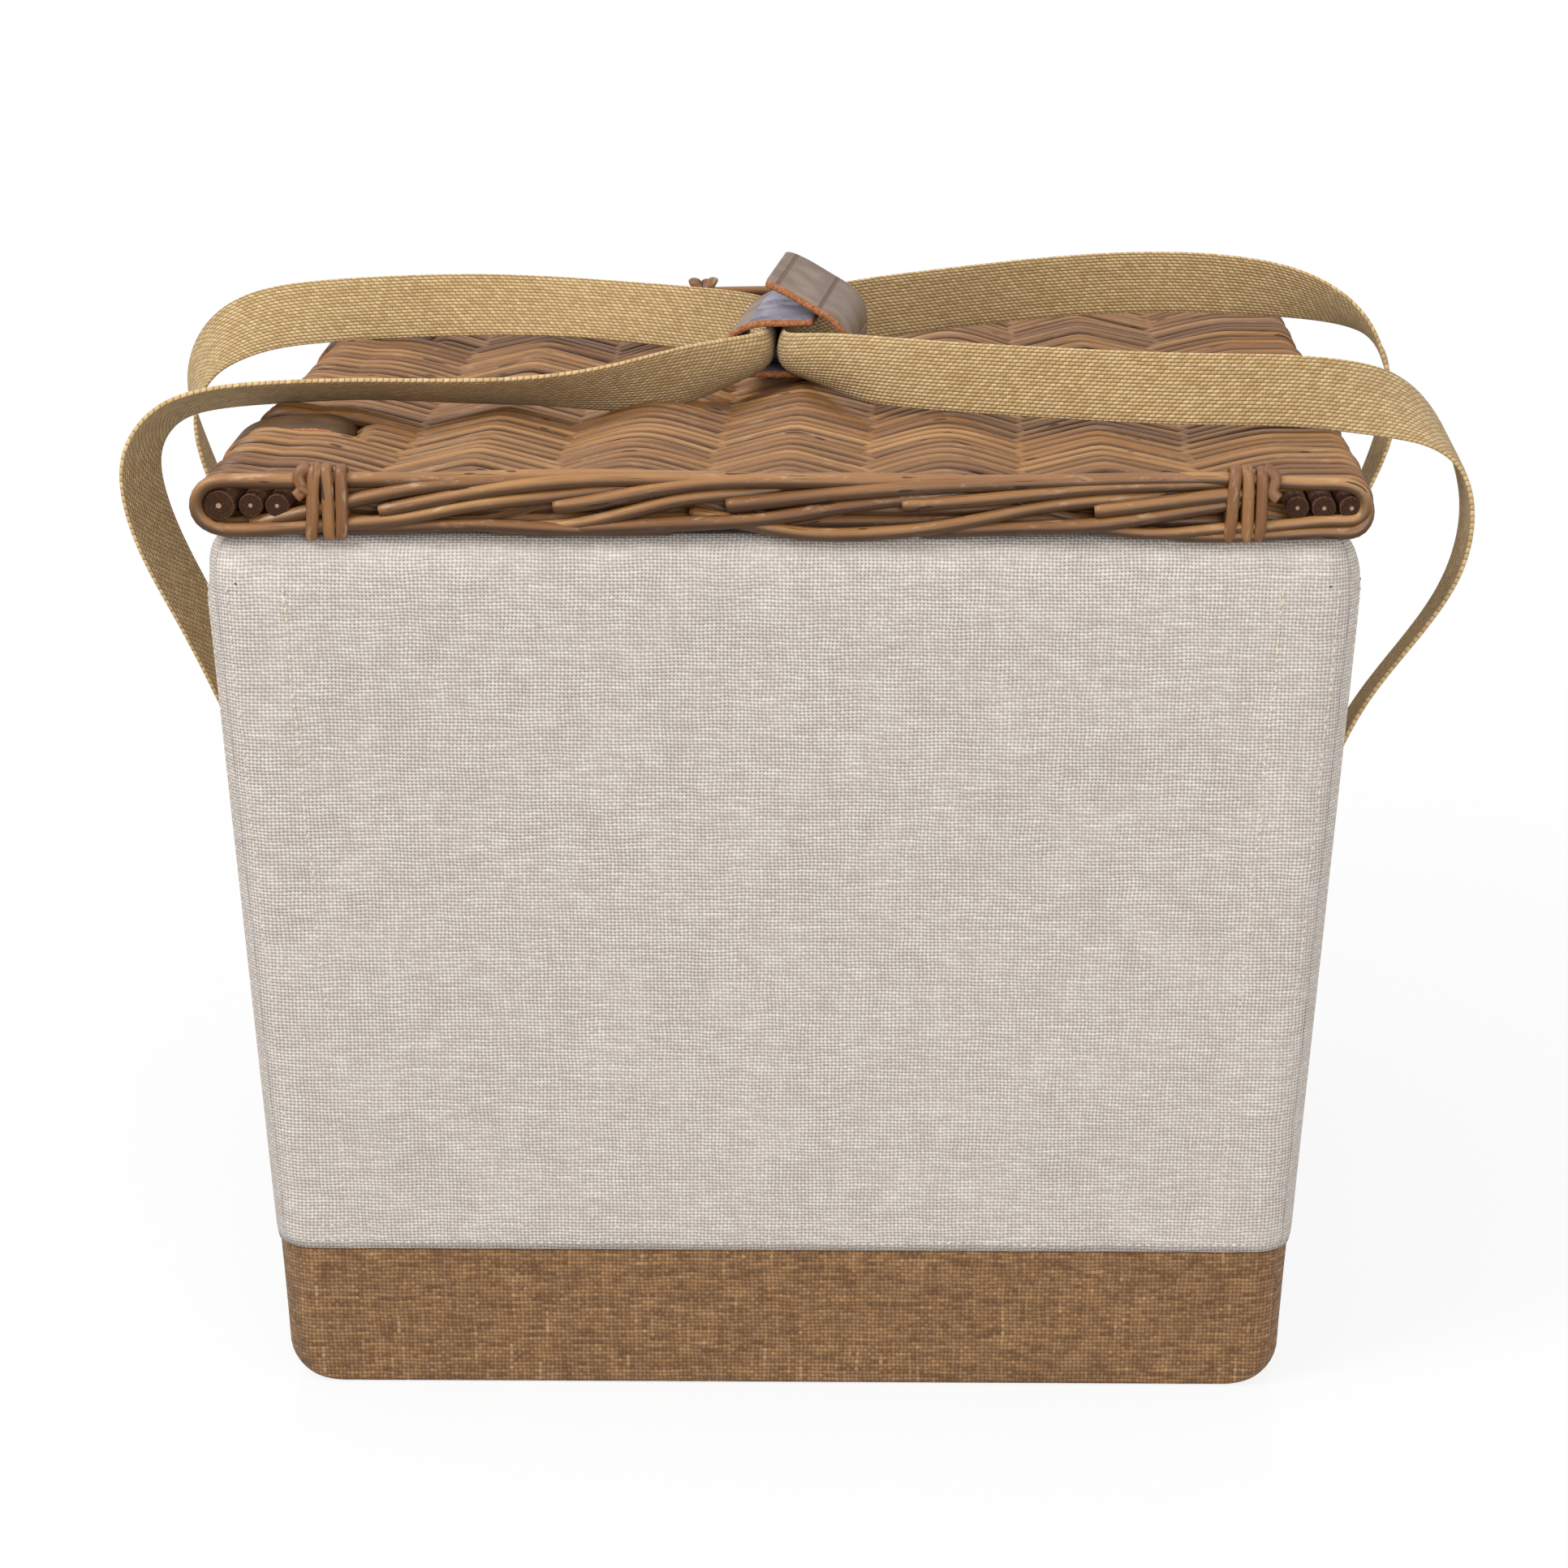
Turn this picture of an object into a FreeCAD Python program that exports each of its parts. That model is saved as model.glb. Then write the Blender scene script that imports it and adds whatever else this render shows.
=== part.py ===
import FreeCAD, Part
import math
import os

import Sketcher

# Canvas box basket with a woven willow lid, in millimetres.
# +Z is up, +X is to the right, -Y is the short end that faces forward.
# The origin is on the floor, below the middle of the basket.

doc = FreeCAD.newDocument("basket")
sheet = doc.addObject("Spreadsheet::Sheet", "sizes")

sizes = {
    # canvas box
    "rimWidth": 430.0,
    "rimDepth": 455.0,
    "baseWidth": 394.0,
    "baseDepth": 419.0,
    "bodyHeight": 350.0,
    "shoulderDrop": 15.0,
    "shoulderInset": 10.0,
    "cornerRadius": 16.0,
    "clothThick": 1.2,
    "boardThick": 3.0,
    "liningThick": 0.8,
    "layerGap": 0.3,
    "bandHeight": 60.0,
    "wireThick": 2.4,
    "wireDrop": 8.0,
    "planMargin": 20.0,
    # woven lid
    "lidGap": 0.6,
    "lidThick": 21.0,
    "lidLean": 16.0,
    "edgeRod": 4.4,
    "stickPlay": 0.1,
    "outerStick": 12.0,
    "edgeStick": 9.0,
    "innerStick": 9.5,
    "stickPitch": 59.5,
    "stickGap": 1.0,
    "edgeSkin": 1.8,
    "borderPitch": 64.0,
    "borderRise": 16.0,
    "borderRun": 226.0,
    "bindingWidth": 15.0,
    "bindingGap": 6.7,
    "bindingHeight": 29.5,
    "bindingThick": 2.3,
    "bindingDeep": 9.6,
    # leather hinge tabs
    "tabWidth": 34.0,
    "tabThick": 2.4,
    "tabPlace": 110.0,
    "tabReach": 46.4,
    "tabTail": 45.0,
    # webbing handles
    "webWidth": 28.0,
    "webThick": 2.0,
    "anchorHeight": 196.0,
    "anchorPlace": 90.0,
    "tailLength": 60.0,
    "webRest": 0.3,
    "handleBulge": 70.0,
    "rightSpread": 26.0,
    "sewGap": 0.2,
    # leather wrap
    "wrapCentre": -7.0,
    "wrapPlace": 8.0,
    "wrapWidth": 62.0,
    "wrapPlay": 4.0,
    "wrapLift": 0.5,
    "sideDrop": 17.7,
    "roofReach": 6.0,
    "wrapLength": 60.0,
    "leatherThick": 3.0,
    "flapLength": 43.0,
    "flapAngle": 34.0,
    "flapGap": 2.0,
    "gripOffset": 10.0,
    "gripLean": -0.58,
}

for row, (alias, value) in enumerate(sizes.items(), start=1):
    sheet.set(f"A{row}", alias)
    sheet.set(f"B{row}", str(value))
    sheet.setAlias(f"B{row}", alias)
doc.recompute()


def size(alias):
    return float(sheet.get(alias))


def vec(x, y, z):
    return FreeCAD.Vector(x, y, z)


nodes = []


def keep(item, label):
    # marks a document object as a finished sub-part
    item.Label = label
    nodes.append(item)
    return item


def bind(item, **expressions):
    for prop, text in expressions.items():
        item.setExpression(prop, text)


# ---------------------------------------------------------------- canvas box

# The outline's half sizes at three levels: floor, widest level and rim.
levels = {
    "floor": ("sizes.baseWidth", "sizes.baseDepth", "0"),
    "widest": ("sizes.rimWidth", "sizes.rimDepth", "sizes.bodyHeight - sizes.shoulderDrop"),
    "rim": ("sizes.rimWidth - 2 * sizes.shoulderInset", "sizes.rimDepth - 2 * sizes.shoulderInset",
            "sizes.bodyHeight"),
}


def roundedOutline(name, wide, deep, level, inset, cornerInset=None):
    # a rounded rectangle centred on the Z axis, shrunk by inset all round
    sketch = doc.addObject("Sketcher::SketchObject", name)
    x, y, r = 200.0, 210.0, 15.0
    corners = [(x, y, 0.0), (-x, y, 0.5 * math.pi), (-x, -y, math.pi), (x, -y, 1.5 * math.pi)]
    for cx, cy, start in corners:
        centre = vec(cx - math.copysign(r, cx), cy - math.copysign(r, cy), 0)
        circle = Part.Circle(centre, vec(0, 0, 1), r)
        sketch.addGeometry(Part.ArcOfCircle(circle, start, start + 0.5 * math.pi))
    sides = [((x - r, y), (-x + r, y)), ((-x, y - r), (-x, -y + r)),
             ((-x + r, -y), (x - r, -y)), ((x, -y + r), (x, y - r))]
    for (x1, y1), (x2, y2) in sides:
        sketch.addGeometry(Part.LineSegment(vec(x1, y1, 0), vec(x2, y2, 0)))
    for i in range(4):
        sketch.addConstraint(Sketcher.Constraint("Tangent", i, 2, 4 + i, 1))
        sketch.addConstraint(Sketcher.Constraint("Tangent", 4 + i, 2, (i + 1) % 4, 1))
    sketch.addConstraint(Sketcher.Constraint("Horizontal", 6))
    sketch.addConstraint(Sketcher.Constraint("Vertical", 7))
    for i in (1, 2, 3):
        sketch.addConstraint(Sketcher.Constraint("Equal", 0, i))
    sketch.addConstraint(Sketcher.Constraint("Symmetric", 4, 1, 4, 2, -2))
    sketch.addConstraint(Sketcher.Constraint("Symmetric", 5, 1, 5, 2, -1))
    drive = {
        "corner": (Sketcher.Constraint("Radius", 0, r),
                   f"sizes.cornerRadius - ({cornerInset or inset})"),
        "wide": (Sketcher.Constraint("DistanceX", 5, 1, 7, 1, 2 * x), f"{wide} - 2 * ({inset})"),
        "deep": (Sketcher.Constraint("DistanceY", 6, 1, 4, 1, 2 * y), f"{deep} - 2 * ({inset})"),
    }
    for label, (constraint, expression) in drive.items():
        sketch.renameConstraint(sketch.addConstraint(constraint), label)
        sketch.setExpression(f"Constraints.{label}", expression)
    sketch.setExpression(".Placement.Base.z", level)
    return sketch


def boxBody(name, inset):
    # the tapered box with its shoulder, shrunk by inset all round
    loft = doc.addObject("Part::Loft", name)
    loft.Sections = [roundedOutline(f"{name}_{level}", *values, inset)
                     for level, values in levels.items()]
    loft.Solid = True
    loft.Ruled = True
    return loft


def slab(name, low, high):
    # everything between two heights
    box = doc.addObject("Part::Box", name)
    box.Placement.Base = vec(-size("rimWidth"), -size("rimDepth"), 0)
    bind(box, Length="2 * sizes.rimWidth", Width="2 * sizes.rimDepth", Height=f"{high} - ({low})")
    box.setExpression(".Placement.Base.z", low)
    return box


def combine(kind, name, base, tool):
    result = doc.addObject(f"Part::{kind}", name)
    result.Base = base
    result.Tool = tool
    return result


sideAngles = {"front": 0, "right": 90, "rear": 180, "left": -90}


def sector(name, side, low, high, trim="0"):
    # the quarter of the plan that belongs to one side, cut along the corners' diagonals
    wedge = doc.addObject("Part::Wedge", name)
    across, along = "sizes.rimWidth", "sizes.rimDepth"
    if side in ("left", "right"):
        across, along = along, across
    reach = f"({along} / 2 + sizes.planMargin)"
    half = f"({across} / 2 + sizes.planMargin - ({trim}))"
    shorter = "min(sizes.rimWidth; sizes.rimDepth)"
    tipY = f"(({along} - {shorter}) / 2 + sizes.planMargin + 2 + {trim})"
    bind(wedge, Ymin=f"-{reach}", Ymax=f"-{tipY}", Xmin=f"-{half}", Xmax=half,
         X2min=f"-({half} - ({reach} - {tipY}))", X2max=f"{half} - ({reach} - {tipY})",
         Zmin=low, Zmax=high, Z2min=low, Z2max=high)
    wedge.Placement.Rotation = FreeCAD.Rotation(vec(0, 0, 1), sideAngles[side])
    return wedge


insets = {
    "clothOuter": "0",
    "clothInner": "sizes.clothThick",
    "boardOuter": "sizes.clothThick + sizes.layerGap",
    "boardInner": "sizes.clothThick + sizes.layerGap + sizes.boardThick",
    "liningOuter": "sizes.clothThick + 2 * sizes.layerGap + sizes.boardThick",
    "liningInner": "sizes.clothThick + 2 * sizes.layerGap + sizes.boardThick + sizes.liningThick",
}
layer = {name: boxBody(name, inset) for name, inset in insets.items()}
clothShell = combine("Cut", "clothShell", layer["clothOuter"], layer["clothInner"])
boardShell = combine("Cut", "boardShell", layer["boardOuter"], layer["boardInner"])

floorTop = insets["liningOuter"]
boardTop = "sizes.bodyHeight - sizes.shoulderDrop - 2"
boardTrim = "2 * sizes.cornerRadius"

for side in sideAngles:
    part = sector(f"{side}PanelSector", side, "sizes.bandHeight", "sizes.bodyHeight")
    keep(combine("Common", f"{side}Panel", clothShell, part), f"{side}_canvas_panel")
    part = sector(f"{side}BandSector", side, "0", "sizes.bandHeight")
    keep(combine("Common", f"{side}Band", clothShell, part), f"{side}_foot_band")
    part = sector(f"{side}BoardSector", side, floorTop, boardTop, boardTrim)
    keep(combine("Common", f"{side}Board", boardShell, part), f"{side}_board")

clothSlab = slab("clothSlab", "0", "sizes.clothThick")
keep(combine("Common", "baseCloth", layer["clothInner"], clothSlab), "canvas_bottom")
boardSlab = slab("boardSlab", insets["boardOuter"], insets["boardInner"])
keep(combine("Common", "baseBoard", layer["boardOuter"], boardSlab), "base_board")

liningBlock = combine("Common", "liningBlock", layer["liningOuter"],
                      slab("liningSlab", floorTop, "sizes.bodyHeight"))
liningRoom = combine("Common", "liningRoom", layer["liningInner"],
                     slab("roomSlab", insets["liningInner"], "sizes.bodyHeight + 1"))
keep(combine("Cut", "liningBag", liningBlock, liningRoom), "lining")

# The rim wire lies under the shoulder, midway between the canvas and the lining.
midGap = "(sizes.clothThick + (2 * sizes.layerGap + sizes.boardThick) / 2)"
wireInset = ("sizes.shoulderInset * (sizes.shoulderDrop - sizes.wireDrop) / sizes.shoulderDrop"
             f" + {midGap}")
wirePath = roundedOutline("wirePath", "sizes.rimWidth", "sizes.rimDepth",
                          "sizes.bodyHeight - sizes.wireDrop", wireInset, midGap)
wireProfile = doc.addObject("Part::Circle", "wireProfile")
bind(wireProfile, Radius="sizes.wireThick / 2")
doc.recompute()
wireStart = wirePath.Shape.Wires[0].OrderedEdges[0]
tangent = wireStart.tangentAt(wireStart.FirstParameter)
wireProfile.Placement = FreeCAD.Placement(wireStart.valueAt(wireStart.FirstParameter),
                                          FreeCAD.Rotation(vec(0, 0, 1), tangent))
wire = doc.addObject("Part::Sweep", "wire")
wire.Sections = [wireProfile]
wire.Spine = (wirePath, [])
wire.Solid = True
wire.Frenet = False
keep(wire, "rim_wire")

# ---------------------------------------------------------------- woven lid

halfWidth = size("rimWidth") / 2
halfDepth = size("rimDepth") / 2
lidLow = size("bodyHeight") + size("lidGap")
lidTop = lidLow + size("lidThick")
lidMid = (lidLow + lidTop) / 2
matHalf = halfDepth - size("edgeRod") - size("stickPlay")
innerReach = halfDepth + size("bindingThick") - size("bindingDeep") - 0.5
leanSlope = size("lidLean") / (2 * halfDepth)


def leanAt(y):
    # how far the lid's sticks have moved to the right at this depth
    return leanSlope * (y + halfDepth)


def stick(name, x, diameter, play, reach, lift=0.0):
    # a willow stick along the lid's depth, leaning with it
    start = vec(x + leanAt(-reach), -reach, lidMid + lift)
    finish = vec(x + leanAt(reach), reach, lidMid + lift)
    rod = doc.addObject("Part::Cylinder", name)
    bind(rod, Radius=f"{diameter} / 2 + {play}")
    rod.Height = (finish - start).Length
    rod.Placement = FreeCAD.Placement(start, FreeCAD.Rotation(vec(0, 0, 1), finish - start))
    return rod


outer, edge, step = size("outerStick"), size("edgeStick"), size("edgeStick") + size("stickGap")
firstLeft = -halfWidth + outer / 2 + size("edgeSkin")
firstRight = halfWidth - edge / 2 - size("edgeSkin")
secondLeft = firstLeft + (outer + edge) / 2 + size("stickGap")
stickTable = [
    ("left_outer_stick", firstLeft, "sizes.outerStick"),
    ("left_middle_stick", secondLeft, "sizes.edgeStick"),
    ("left_inner_stick", secondLeft + step, "sizes.edgeStick"),
    ("right_inner_stick", firstRight - 2 * step, "sizes.edgeStick"),
    ("right_middle_stick", firstRight - step, "sizes.edgeStick"),
    ("right_outer_stick", firstRight, "sizes.edgeStick"),
]
for i in range(5):
    stickTable.append((f"lid_stick_{i + 1}", (i - 2) * size("stickPitch"), "sizes.innerStick"))

bores = []
for name, x, diameter in stickTable:
    edgeOne = not name.startswith("lid_stick")
    reach = halfDepth - 1.5 if edgeOne else innerReach
    keep(stick(name, x, diameter, "0", reach), name)
    bores.append(stick(f"{name}Bore", x, diameter, "sizes.stickPlay", halfDepth + 5))


def block(name, low, high):
    # a box between two corners
    box = doc.addObject("Part::Box", name)
    box.Length, box.Width, box.Height = high - low
    box.Placement.Base = low
    return box


def loop(name, low, high, wall, axis):
    # a band bent into a closed rectangle, open along one axis
    gap = vec(wall, wall, wall)
    gap[axis] = -1.0
    hole = block(f"{name}Hole", low + gap, high - gap)
    return combine("Cut", name, block(f"{name}Block", low, high), hole)


play = vec(1, 1, 1) * size("stickPlay")
slots = []

# Bindings hold the border rods at the front and the rear.
bindLow = lidMid - size("bindingHeight") / 2 + 1.5
bindTop = bindLow + size("bindingHeight")
width = size("bindingWidth")
leftBinding = secondLeft + step + edge / 2 + size("bindingGap") + width / 2
rightBinding = firstRight - 2 * step - edge / 2 - size("bindingGap") - width / 2
bindingTable = [
    ("front_left_binding", -1, leftBinding),
    ("front_right_binding", -1, rightBinding),
    ("rear_left_binding", 1, leftBinding),
    ("rear_right_binding", 1, rightBinding),
    ("rear_crossed_tie", 1, -size("stickPitch")),
]
for name, end, x in bindingTable:
    outerY = end * (halfDepth + size("bindingThick") + size("stickPlay"))
    innerY = outerY - end * size("bindingDeep")
    centreX = x + leanAt(end * halfDepth)
    low = vec(centreX - width / 2, min(outerY, innerY), bindLow)
    high = vec(centreX + width / 2, max(outerY, innerY), bindTop)
    keep(loop(name, low, high, size("bindingThick"), 0), name)
    slots.append(block(f"{name}Slot", low - play, high + play))

# Hinge tabs loop round the three left edge sticks.
for name, y in (("front", -size("tabPlace")), ("rear", size("tabPlace"))):
    x = -halfWidth + leanAt(y) - size("tabThick") - 1.0
    low = vec(x, y - size("tabWidth") / 2, lidLow + 0.8)
    high = vec(x + size("tabReach"), y + size("tabWidth") / 2, lidTop + size("tabThick"))
    keep(loop(f"{name}Tab", low, high, size("tabThick"), 1), f"{name}_hinge_tab")
    slots.append(block(f"{name}TabSlot", low - play, high + play))

mat = doc.addObject("Part::Wedge", "matBlank")
mat.Xmin, mat.Xmax = -halfWidth + leanAt(-matHalf), halfWidth + leanAt(-matHalf)
mat.X2min, mat.X2max = -halfWidth + leanAt(matHalf), halfWidth + leanAt(matHalf)
mat.Ymin, mat.Ymax = -matHalf, matHalf
mat.Zmin = mat.Z2min = lidLow
mat.Zmax = mat.Z2max = lidTop
cutters = doc.addObject("Part::MultiFuse", "matCutters")
cutters.Shapes = bores + slots
keep(combine("Cut", "mat", mat, cutters), "willow_weave")

# Border rods slant up to the right, each one lying against the next.
borderStart = leftBinding - width / 2 - 3.0
borderEnd = rightBinding + width / 2 + 3.0
rodRadius = size("edgeRod") / 2
lowRod = lidMid - size("borderRise") / 2
for name, end in (("front_border", -1), ("rear_border", 1)):
    rods = []
    before = int((size("borderRun") - borderStart) / size("borderPitch"))
    after = int(borderEnd / size("borderPitch"))
    for i in range(-before, after + 1):
        x = i * size("borderPitch")
        first = max(x, borderStart)
        last = min(x + size("borderRun"), borderEnd)
        if last - first < size("borderPitch") / 2:
            continue
        slope = size("borderRise") / size("borderRun")
        middle = end * (halfDepth - rodRadius)
        shift = leanAt(end * halfDepth)
        start = vec(first + shift, middle, lowRod + slope * (first - x))
        finish = vec(last + shift, middle, lowRod + slope * (last - x))
        rod = doc.addObject("Part::Cylinder", f"{name}Rod{len(rods)}")
        bind(rod, Radius="sizes.edgeRod / 2 - 0.05")
        rod.Height = (finish - start).Length
        rod.Placement = FreeCAD.Placement(start, FreeCAD.Rotation(vec(0, 0, 1), finish - start))
        rods.append(rod)
    bundle = doc.addObject("Part::Compound", name)
    bundle.Links = rods
    keep(bundle, name)

# ---------------------------------------------------------------- sewn ends on the side walls

wallRun = (size("rimWidth") - size("baseWidth")) / 2
wallRise = size("bodyHeight") - size("shoulderDrop")
wallAngle = math.degrees(math.atan2(wallRun, wallRise))


def wallAt(z):
    # half width of the canvas at this height, up to the shoulder
    return size("baseWidth") / 2 + wallRun * z / wallRise


def sewnStrip(name, side, y, top, length, width, thick):
    # a flat strip on a side wall, its top edge at this height
    strip = doc.addObject("Part::Box", name)
    strip.Length, strip.Width, strip.Height = thick, width, length
    gap = size("sewGap")
    low = top - length
    if side < 0:
        strip.Placement.Base = vec(-wallAt(low) - gap - thick, y - width / 2, low)
    else:
        strip.Placement.Base = vec(wallAt(low) + gap, y - width / 2, low)
    strip.Placement.Rotation = FreeCAD.Rotation(vec(0, 1, 0), side * wallAngle)
    return strip


for sideName, side in (("left", -1), ("right", 1)):
    for endName, end in (("front", -1), ("rear", 1)):
        strip = sewnStrip(f"{sideName}{endName}Tail", side, end * size("anchorPlace"),
                          size("anchorHeight"), size("tailLength"), size("webWidth"), size("webThick"))
        keep(strip, f"{sideName}_{endName}_strap_tail")

for endName, end in (("front", -1), ("rear", 1)):
    strip = sewnStrip(f"{endName}TabTail", -1, end * size("tabPlace"), size("bodyHeight"),
                      size("tabTail"), size("tabWidth"), size("tabThick"))
    keep(strip, f"{endName}_tab_tail")

# ---------------------------------------------------------------- webbing handles

leather = size("leatherThick")
wrapLow = lidTop + size("wrapLift")
leanAngle = math.atan(size("gripLean"))
gripHeight = size("webWidth") * math.cos(leanAngle) + size("webThick")
edgeHigh = wrapLow + leather + size("webRest") + gripHeight / 2
riseSteps = 10


def handleStations(side):
    # centre points and width directions from the front end, over the lid, to the rear end
    web = size("webThick")
    base = size("anchorHeight") + 1.5
    foot = wallAt(base) + size("sewGap") + web / 2
    grip = size("wrapCentre") * side + size("gripOffset")
    spread = size("rightSpread") if side > 0 else 0.0
    half = []
    for i in range(riseSteps + 1):
        share = i / riseSteps
        x = foot + size("handleBulge") * math.sin(math.pi * share) - 8.0 * share
        z = base + (edgeHigh - base) * math.sin(0.5 * math.pi * share)
        tilt = math.radians(108.0) * max(0.0, share - 0.5)
        half.append((x, size("anchorPlace") + (spread / 2 - 5.0) * share, z, tilt, 0.0))
    edgeX = half[-1][0]
    run = [(0.76, 88.0, 1.0, 65, 0.0), (0.5, 84.0, 1.0, 75, 0.0), (0.28, 70.0, 0.8, 85, 0.1),
           (0.15, 55.0, 0.4, 90, 0.3)]
    for share, y, part, tilt, lean in run:
        x = grip + (edgeX - grip) * share
        half.append((x, y + spread * part, edgeHigh, math.radians(tilt), lean))
    wrapEnd = size("wrapLength") / 2
    for y, shift in ((wrapEnd + 8.0, 3.0), (wrapEnd - 6.0, 0.0), (0.0, 0.0)):
        half.append((grip + shift, y, edgeHigh, math.radians(90), size("gripLean")))
    stations = []
    for end, points in ((-1, half), (1, half[-2::-1])):
        for x, y, z, tilt, lean in points:
            place = size("wrapPlace") if y < 60 else 0.0
            centre = vec(side * x, end * y + place, z)
            stations.append((centre, vec(side * lean, -end * math.cos(tilt), math.sin(tilt))))
    return stations


def webbing(name, side):
    # flat webbing carried through the stations, square to its path at each one
    stations = handleStations(side)
    wires = []
    for i, (centre, across) in enumerate(stations):
        before = stations[max(i - 1, 0)][0]
        after = stations[min(i + 1, len(stations) - 1)][0]
        along = (after - before).normalize()
        across = (across - along * across.dot(along)).normalize()
        normal = along.cross(across).normalize()
        a = across * size("webWidth") / 2
        b = normal * size("webThick") / 2
        corners = [centre - a - b, centre + a - b, centre + a + b, centre - a + b]
        wires.append(Part.makePolygon(corners + corners[:1]))
    feature = doc.addObject("Part::Feature", name)
    feature.Shape = Part.makeLoft(wires, True, True)
    return feature


keep(webbing("leftWebbing", -1), "left_webbing")
keep(webbing("rightWebbing", 1), "right_webbing")

# ---------------------------------------------------------------- leather wrap

wrapLeft = size("wrapCentre") - size("wrapWidth") / 2
wrapRight = size("wrapCentre") + size("wrapWidth") / 2
wrapFront = size("wrapPlace") - size("wrapLength") / 2
wrapRear = size("wrapPlace") + size("wrapLength") / 2
wrapTop = wrapLow + 2 * leather + gripHeight + size("wrapPlay")
sideTop = wrapTop - size("sideDrop")
wrapWalls = [
    block("wrapFloor", vec(wrapLeft, wrapFront, wrapLow), vec(wrapRight, wrapRear, wrapLow + leather)),
    block("wrapLeft", vec(wrapLeft, wrapFront, wrapLow), vec(wrapLeft + leather, wrapRear, wrapTop)),
    block("wrapRoof", vec(wrapLeft, wrapFront, wrapTop - leather),
          vec(size("wrapCentre") + size("roofReach"), wrapRear, wrapTop)),
    block("wrapRight", vec(wrapRight - leather, wrapFront, wrapLow),
          vec(wrapRight, wrapRear, sideTop)),
]
wrap = doc.addObject("Part::MultiFuse", "wrap")
wrap.Shapes = wrapWalls
keep(wrap, "handle_wrap")

flap = doc.addObject("Part::Box", "flap")
bind(flap, Length="sizes.flapLength", Width="sizes.wrapLength", Height="sizes.leatherThick")
flapTurn = FreeCAD.Rotation(vec(0, 1, 0), 180 + size("flapAngle"))
flapBase = vec(wrapRight, wrapFront, sideTop + leather + size("flapGap"))
flap.Placement = FreeCAD.Placement(flapBase, flapTurn)
keep(flap, "wrap_flap")

# ---------------------------------------------------------------- build and write

doc.recompute()
for item in doc.Objects:
    if "Invalid" in item.State or "Error" in item.State:
        raise RuntimeError(f"{item.Name} failed: {item.State}")

os.makedirs("parts", exist_ok=True)
for item in nodes:
    shape = item.Shape
    if shape.isNull() or not shape.isValid() or shape.Volume <= 0:
        raise RuntimeError(f"{item.Label} has no valid solid")
    shape.exportStep(f"parts/{item.Label}.step")
    box = shape.BoundBox
    print(f"{item.Label:24s} {len(shape.Solids)} solid, {shape.Volume / 1000:8.1f} cm3, "
          f"x {box.XMin:7.1f} {box.XMax:7.1f}  y {box.YMin:7.1f} {box.YMax:7.1f}  "
          f"z {box.ZMin:6.1f} {box.ZMax:6.1f}")
print(len(nodes), "sub-parts")
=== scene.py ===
import math

import bpy
import numpy as np
from mathutils import Euler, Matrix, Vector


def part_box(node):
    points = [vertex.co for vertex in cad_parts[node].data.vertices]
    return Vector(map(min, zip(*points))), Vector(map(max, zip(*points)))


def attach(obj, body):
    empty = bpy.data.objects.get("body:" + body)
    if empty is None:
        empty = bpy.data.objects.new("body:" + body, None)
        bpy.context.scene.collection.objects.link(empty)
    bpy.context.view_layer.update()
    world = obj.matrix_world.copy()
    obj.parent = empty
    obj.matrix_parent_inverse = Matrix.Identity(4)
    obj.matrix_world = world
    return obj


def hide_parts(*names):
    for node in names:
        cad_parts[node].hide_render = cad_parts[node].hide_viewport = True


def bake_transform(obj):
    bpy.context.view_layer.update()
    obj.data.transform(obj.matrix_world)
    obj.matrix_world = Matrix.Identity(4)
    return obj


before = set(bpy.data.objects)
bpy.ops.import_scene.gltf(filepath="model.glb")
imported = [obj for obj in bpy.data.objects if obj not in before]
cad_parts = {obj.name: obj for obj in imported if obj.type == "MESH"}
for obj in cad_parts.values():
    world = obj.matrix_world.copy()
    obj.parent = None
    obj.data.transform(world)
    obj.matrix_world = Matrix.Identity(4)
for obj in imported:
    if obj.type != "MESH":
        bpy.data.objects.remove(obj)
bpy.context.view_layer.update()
mm = 0.001


# Shapes as whole arrays

def unit(v):
    # vectors divided by their own length
    return v / np.maximum(np.linalg.norm(v, axis=-1, keepdims=True), 1e-12)


def splineThrough(points, count):
    # a natural cubic spline on the running length, through every row of points; count even samples
    p = np.asarray(points, float)
    t = np.concatenate([[0.0], np.cumsum(np.linalg.norm(np.diff(p[:, :3], axis=0), axis=1))])
    n, step = len(p), np.diff(t)
    system, right = np.eye(n), np.zeros_like(p)
    for i in range(1, n - 1):
        system[i, i - 1:i + 2] = step[i - 1], 2 * (step[i - 1] + step[i]), step[i]
        right[i] = 6 * ((p[i + 1] - p[i]) / step[i] - (p[i] - p[i - 1]) / step[i - 1])
    bend = np.linalg.solve(system, right)
    s = np.linspace(0, t[-1], count)
    i = np.clip(np.searchsorted(t, s, "right") - 1, 0, n - 2)
    h = step[i][:, None]
    a, b = (t[i + 1] - s)[:, None] / h, (s - t[i])[:, None] / h
    return a * p[i] + b * p[i + 1] + ((a ** 3 - a) * bend[i] + (b ** 3 - b) * bend[i + 1]) * h * h / 6


def softNoise(x, y, seed, waves=7):
    # a smooth field near -1..1: a sum of sine waves that run in seeded directions
    draw = np.random.default_rng(seed)
    total = 0.0
    for k in range(waves):
        way, phase, pace = draw.uniform(0, 2 * np.pi), draw.uniform(0, 2 * np.pi), draw.uniform(0.6, 1.7)
        total = total + np.sin(pace * (x * np.cos(way) + y * np.sin(way)) + phase)
    return total / math.sqrt(waves) * 0.8


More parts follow.
